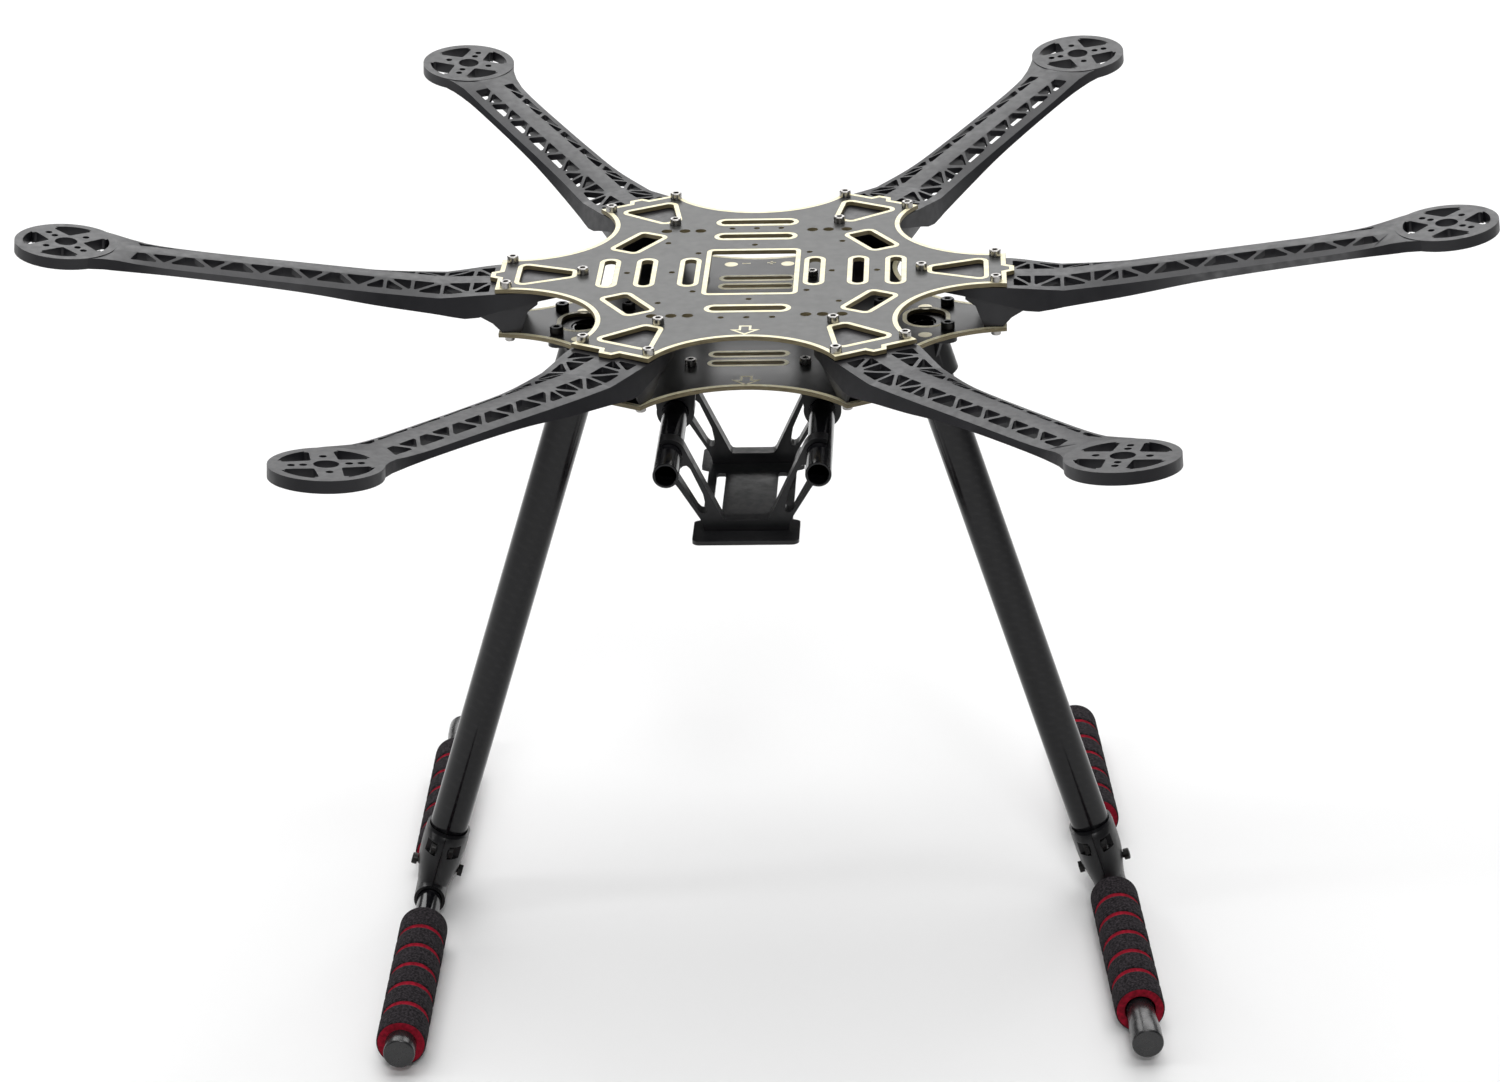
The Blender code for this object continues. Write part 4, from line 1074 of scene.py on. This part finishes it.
def make_leg_tube(side, word):
    node = "leg_tube_" + word
    mesh = to_mesh(node, tube(LEG_RADIUS, LEG_TUBE_START, LEG_LENGTH - 0.003))
    stand_in(node, mesh, (CARBON,), matrix=leg_frame(side))


def seat_ribs(side, top):
    """Four small gussets between a seat's flange and its socket."""
    ribs = []
    for turn in (45, 135, 225, 315):
        rib = block((0.006, -0.0009, top - 0.013), (0.0165, 0.0009, top - 0.002))
        for vert in rib.verts:
            if vert.co.x > 0.01 and vert.co.z < top - 0.01:
                vert.co.x = 0.0125
        spot = shift(side * LEG_TOP_X, 0, 0) @ spin(turn, "Z")
        ribs.append(placed(rib, spot))
    return ribs


def make_leg_seat(side, word):
    """Square flange under the bottom plate with a leaning socket for the leg tube."""
    top = BOARD_LOW - GAP
    outline = slot_outline(side * LEG_TOP_X, 0, 2 * SEAT_HALF, 2 * SEAT_HALF, corner=0.004)
    flange = extruded([outline], top - SEAT_FLANGE, top)
    low = LEG_LENGTH - SEAT_SOCKET_LENGTH
    socket = extruded([circle(0, 0, SEAT_SOCKET_RADIUS, 56)], low, LEG_LENGTH + 0.005)
    below = block((-0.1, -0.03, top - 0.04), (0.1, 0.03, top - 0.001))
    trimmed = combined(placed(socket, leg_frame(side)), "INTERSECT", below)
    bore = extruded([circle(0, 0, LEG_RADIUS + 0.0004, 56)], low - 0.01, LEG_LENGTH + 0.01)
    whole = combined(flange, "UNION", trimmed, *seat_ribs(side, top))
    node = "leg_seat_" + word
    mesh = to_mesh(node, combined(whole, "DIFFERENCE", placed(bore, leg_frame(side))))
    stand_in(node, mesh, (PLASTIC,), bevel=0.0004)


def tee_solid(side):
    """The whole T-shaped clamp before it is bored and split."""
    unit = circle(0, 0, 1.0, 56)
    sections = [[(half_x * x, half_y * y, height) for x, y in unit]
                for height, half_x, half_y in TEE_SECTIONS]
    body = placed(loft(sections), leg_frame(side))
    to_skid = skid_frame(side) @ spin(90, "X")
    foot = placed(extruded([circle(0, 0, TEE_SKID_RADIUS, 48)],
                           -TEE_SKID_HALF_LENGTH, TEE_SKID_HALF_LENGTH), to_skid)
    return combined(body, "UNION", foot)


def tee_pockets(side):
    """Recesses beside the seam for the heads and nuts of the front and rear bolts."""
    pockets = []
    for place in ("front", "rear"):
        y, z, half = TEE_BOLTS[place]
        end = math.copysign(1, y)
        near, far = sorted((end * 0.0087, end * 0.0160))
        for hand in (-1, 1):
            left, right = sorted((hand * half, hand * 0.012))
            pocket = block((left, near, z - TEE_POCKET_HALF_HEIGHT), (right, far, z + TEE_POCKET_HALF_HEIGHT))
            pockets.append(placed(pocket, leg_frame(side)))
    return pockets


def tee_bores(side):
    """The holes of a clamp for its leg tube and its skid tube."""
    to_skid = skid_frame(side) @ spin(90, "X")
    leg = extruded([circle(0, 0, LEG_RADIUS + BORE_PLAY, 56)], LEG_TUBE_START - GAP, 0.05)
    skid = extruded([circle(0, 0, SKID_RADIUS + BORE_PLAY, 48)], -0.05, 0.05)
    return [placed(leg, leg_frame(side)), placed(skid, to_skid)]


def make_tee(side, word):
    """The outer and inner halves of a leg's clamp."""
    for half, outwards in (("outer", side), ("inner", -side)):
        near, far = sorted((outwards * TEE_SEAM, outwards * 0.03))
        keep = block((near, -0.03, -0.03), (far, 0.03, 0.05))
        bored = combined(tee_solid(side), "DIFFERENCE", *tee_bores(side), *tee_pockets(side))
        node = "tee_" + half + "_" + word
        mesh = to_mesh(node, combined(bored, "INTERSECT", placed(keep, leg_frame(side))))
        stand_in(node, mesh, (PLASTIC,), bevel=0.0004)


def make_tee_bolts(side, word):
    """Cap screws across the seam, each with a hexagon nut on its inner end."""
    outwards = spin(90 * side, "Y")
    for place, (y, z, half) in TEE_BOLTS.items():
        reach = half + 0.0001
        bolt = bmesh.new()
        bolt.from_mesh(cap_screw(0.0024, 0.0024, TEE_BOLT_RADIUS, 2 * reach))
        nut = extruded([circle(0, 0, 0.0028, 6), circle(0, 0, TEE_BOLT_RADIUS, 16)],
                       -2 * reach - 0.0019, -2 * reach)
        node = "tee_bolt_" + place + "_" + word
        mesh = to_mesh(node, gathered([bolt, nut]))
        spot = leg_frame(side) @ shift(0, y, z) @ outwards @ shift(0, 0, reach)
        stand_in(node, mesh, (BLACK_STEEL,), matrix=spot, bevel=0.0001)


def foam_profile():
    """Outside of a foam sleeve along its length: six skins with soft ends, parted by ring grooves."""
    pitch = FOAM_LENGTH / (FOAM_GROOVES + 1)
    shoulder = FOAM_RADIUS - FOAM_SKIN_ROUNDING
    profile = [(FOAM_BORE, 0.0), (FOAM_CORE, 0.0), (shoulder, 0.0)]
    for k in range(FOAM_GROOVES + 1):
        low = k * pitch + (FOAM_GROOVE_HALF_WIDTH if k else 0.0)
        high = (k + 1) * pitch - (FOAM_GROOVE_HALF_WIDTH if k < FOAM_GROOVES else 0.0)
        for share, sink in FOAM_SKIN:
            profile.append((FOAM_RADIUS - sink, low + (high - low) * share))
        if k < FOAM_GROOVES:
            middle = (k + 1) * pitch
            for share, sink in FOAM_GROOVE:
                profile.append((FOAM_CORE - sink, middle + FOAM_GROOVE_HALF_WIDTH * share))
    return profile + [(shoulder, FOAM_LENGTH), (FOAM_CORE, FOAM_LENGTH), (FOAM_BORE, FOAM_LENGTH)]


def make_foam(node, along_skid):
    """Foam sleeve whose black skin is cut by ring grooves down to the red core."""
    start = FOAM_START[node]
    mesh = to_mesh(node, revolved([(radius, start + height) for radius, height in foam_profile()], 96))
    mesh.materials.append(FOAM)
    mesh.materials.append(FOAM_RED)
    for face in mesh.polygons:
        if math.hypot(face.center.x, face.center.y) < FOAM_CORE + 2 * HAIR:
            face.material_index = 1
    thing = stand_in(node, mesh, (), matrix=along_skid, sharp=60)


def make_end_cap(node, along_skid):
    """Rubber cap over a skid's end, thickest at its closed end."""
    floor = SKID_HALF_LENGTH + GAP
    top = floor + CAP_END
    mouth = top - CAP_LENGTH
    bore = SKID_RADIUS + 0.0002
    rim = arc(CAP_RADIUS - CAP_ROUNDING, top - CAP_ROUNDING, CAP_ROUNDING, 90, 0, 6)
    outside = [(CAP_RADIUS - thinner, top - below) for below, thinner in CAP_TAPER]
    profile = [(0.0, top), *rim, *outside, (bore, mouth), (bore, floor), (0.0, floor)]
    stand_in(node, to_mesh(node, revolved(profile, 56)), (RUBBER,), matrix=along_skid)


def make_skid(side, word):
    """A skid tube with a foam sleeve and an end cap in front and behind."""
    lengthwise = skid_frame(side) @ spin(-90, "X")
    slid = lengthwise @ shift(0, 0, SKID_SHIFT[word])
    node = "skid_tube_" + word
    mesh = to_mesh(node, tube(SKID_RADIUS, -SKID_HALF_LENGTH, SKID_HALF_LENGTH, 48))
    stand_in(node, mesh, (CARBON,), matrix=slid)
    for place, flip in (("front", 180), ("rear", 0)):
        make_foam("foam_" + place + "_" + word, lengthwise)
        make_end_cap("end_cap_" + place + "_" + word, slid @ spin(flip, "X"))


# ---------------------------------------------------------------- rails and tray
def front_facing(outlines, front, depth):
    """A flat shape drawn in X and Z, extruded from its front face towards the rear."""
    upright = shift(0, front, 0) @ spin(90, "X")
    return placed(extruded(outlines, -depth, 0.0), upright)


def make_rail_clip(node, x, y):
    """Block under the bottom plate with a ring around a rail."""
    top = BOARD_LOW - GAP
    brow = top - CLIP_BROW
    shape = [(x - CLIP_HALF_WIDTH, top), (x - CLIP_HALF_WIDTH, brow)]
    shape += arc(x, RAIL_HEIGHT, CLIP_RING_RADIUS, 170, 370, 33)
    shape += [(x + CLIP_HALF_WIDTH, brow), (x + CLIP_HALF_WIDTH, top)]
    bore = circle(x, RAIL_HEIGHT, RAIL_RADIUS + 0.0002, 48)
    mesh = to_mesh(node, front_facing([shape, bore], y - CLIP_DEPTH / 2, CLIP_DEPTH))
    stand_in(node, mesh, (PLASTIC,), bevel=0.0005)


def make_rails():
    lengthwise = spin(-90, "X")
    for side, word in SIDES:
        x = side * RAIL_X
        node = "rail_" + word
        mesh = to_mesh(node, tube(RAIL_RADIUS, -RAIL_HALF_LENGTH, RAIL_HALF_LENGTH, 56))
        stand_in(node, mesh, (CARBON,), matrix=shift(x, 0, RAIL_HEIGHT) @ lengthwise)
        make_rail_clip("rail_clip_front_" + word, x, -CLIP_Y)
        make_rail_clip("rail_clip_rear_" + word, x, CLIP_Y)


def hanger_outlines():
    """Front view of a tray hanger: an open hook on each rail, two struts down from it and a foot bar."""
    bore = RAIL_RADIUS + 0.00015
    low_end = 360 - HOOK_OPENING
    right = [(FOOT_HALF_WIDTH, PLATFORM_TOP + 0.00004), (0.0165, 0.2156), (0.0176, 0.2187), (0.0253, 0.2312)]
    right += arc(RAIL_X, RAIL_HEIGHT, HOOK_RADIUS, 284, low_end, 5)
    right += arc(RAIL_X, RAIL_HEIGHT, bore, low_end, HOOK_OPENING, 49)
    right += arc(RAIL_X, RAIL_HEIGHT, HOOK_RADIUS, HOOK_OPENING, 160, 25)
    right += [(0.0092, BAR_TOP + 0.0012), (0.0084, BAR_TOP + 0.0002), (0.0072, BAR_TOP)]
    left = [(-x, z) for x, z in reversed(right)]
    window = [(0.0150, 0.2224), (0.0154, 0.2214), (0.0163, 0.2211), (0.0173, 0.2214), (0.0184, 0.2226)]
    window += arc(RAIL_X, RAIL_HEIGHT, HOOK_RADIUS + 0.0001, 256, 220, 9)
    window += [(0.0221, 0.2409), (0.0208, 0.2396), (0.0162, 0.2290)]
    window = rounded(window, 0.0006, 4)
    other = [(-x, z) for x, z in reversed(window)]
    return [right + left, window, other]


def platform_outlines():
    """Plan of the tray platform: wide ends under the hangers and two long strap slots."""
    front = HANGER_FRONTS["tray_hanger_front"] - FLANGE_REACH
    rear = HANGER_FRONTS["tray_hanger_rear"] + HANGER_DEPTH + FLANGE_REACH
    wide, narrow = FLANGE_HALF_WIDTH, PLATFORM_HALF_WIDTH
    corner, cut = FLANGE_CORNER, FLANGE_CUT
    right = arc(wide - corner, front + corner, corner, 270, 360, 10)
    right += [(wide, front + FLANGE_DEPTH - cut), (wide - cut, front + FLANGE_DEPTH)]
    right += [(narrow, front + FLANGE_DEPTH + cut), (narrow, rear - FLANGE_DEPTH - cut)]
    right += [(wide - cut, rear - FLANGE_DEPTH), (wide, rear - FLANGE_DEPTH + cut)]
    right += arc(wide - corner, rear - corner, corner, 0, 90, 10)
    left = [(-x, y) for x, y in reversed(right)]
    middle = (front + rear) / 2
    slots_through = [slot_outline(side * STRAP_SLOT_X, middle, STRAP_SLOT_WIDTH, STRAP_SLOT_LENGTH,
                                  corner=0.001) for side in (-1, 1)]
    return [right + left, *slots_through]


def make_tray():
    """The sliding battery tray: two hangers on the rails and the platform below them."""
    for node, front in HANGER_FRONTS.items():
        mesh = to_mesh(node, front_facing(hanger_outlines(), front, HANGER_DEPTH))
        stand_in(node, mesh, (PLASTIC,), body="tray", bevel=0.0003)
    slab = extruded(platform_outlines(), PLATFORM_TOP - PLATFORM_THICKNESS, PLATFORM_TOP)
    stand_in("tray_platform", to_mesh("tray_platform", slab), (PLASTIC,), body="tray", bevel=0.0003)


# ---------------------------------------------------------------- studio
# Lamps: place, target, size and power.
LIGHTS = {
    "ceiling": ((0.0, 0.5, 2.4), (0.0, 0.2, 0.0), (2.8, 2.6), 58.0),
    "back": ((0.0, 2.6, 1.6), (0.0, 0.0, 0.25), (3.6, 1.4), 42.0),
    "left": ((-2.2, -0.3, 1.4), (0.0, 0.0, 0.2), (0.4, 1.6), 9.0),
    "front": ((0.3, -2.4, 2.2), (0.0, 0.0, 0.25), (0.5, 0.4), 22.0),
}
WORLD_STRENGTH = 0.15
FLOOR_CORNERS = ((-9, -6, 0), (9, -6, 0), (9, 12, 0), (-9, 12, 0))
CAMERA_PLACE = (0.07785, -1.54171, 0.83556)
CAMERA_FORWARD = (-0.048677, 0.916130, -0.397916)
CAMERA_RIGHT = (0.998766, 0.040727, -0.028412)
CAMERA_LENS = 98.25
SENSOR_WIDTH = 36.0


def floor_material():
    made = Surface("studio_floor", (0.86, 0.86, 0.86), 0.6)
    made.colour(made.noise(1.5, 2.0), (0.85, 0.85, 0.85), (0.88, 0.88, 0.88))
    return made.material


def make_floor():
    bm = bmesh.new()
    bm.faces.new([bm.verts.new(corner) for corner in FLOOR_CORNERS])
    mesh = to_mesh("floor", bm)
    mesh.materials.append(floor_material())
    floor = bpy.data.objects.new("floor", mesh)
    bpy.context.scene.collection.objects.link(floor)


def area_light(name, location, target, size, power):
    """A rectangular lamp that faces a target."""
    data = bpy.data.lights.new(name, "AREA")
    data.shape = "RECTANGLE"
    data.size, data.size_y = size
    data.energy = power
    lamp = bpy.data.objects.new(name, data)
    lamp.location = location
    lamp.rotation_euler = (Vector(target) - Vector(location)).to_track_quat("-Z", "Y").to_euler()
    bpy.context.scene.collection.objects.link(lamp)


def make_lights():
    for name, settings in LIGHTS.items():
        area_light(name, *settings)
    world = bpy.data.worlds.new("studio")
    world.use_nodes = True
    background = world.node_tree.nodes["Background"]
    background.inputs["Color"].default_value = (1.0, 1.0, 1.0, 1.0)
    background.inputs["Strength"].default_value = WORLD_STRENGTH
    bpy.context.scene.world = world


def make_camera():
    data = bpy.data.cameras.new("camera")
    data.sensor_width = SENSOR_WIDTH
    data.lens = CAMERA_LENS
    data.clip_start, data.clip_end = 0.1, 50.0
    camera = bpy.data.objects.new("camera", data)
    forward = Vector(CAMERA_FORWARD).normalized()
    right = Vector(CAMERA_RIGHT)
    right = (right - forward * right.dot(forward)).normalized()
    up = right.cross(forward)
    turn = Matrix((right, up, -forward)).transposed().to_4x4()
    camera.matrix_world = shift(*CAMERA_PLACE) @ turn
    bpy.context.scene.collection.objects.link(camera)
    bpy.context.scene.camera = camera
    bpy.context.scene.view_settings.view_transform = "Standard"


# ---------------------------------------------------------------- the whole model
make_camera()
make_top_plate()
make_bottom_plate()
make_arms()
make_arm_screws()
make_board_screws()
make_foot_screws()
for side, word in SIDES:
    make_leg_tube(side, word)
    make_leg_seat(side, word)
    make_tee(side, word)
    make_tee_bolts(side, word)
    make_skid(side, word)
make_rails()
make_tray()
make_floor()
make_lights()
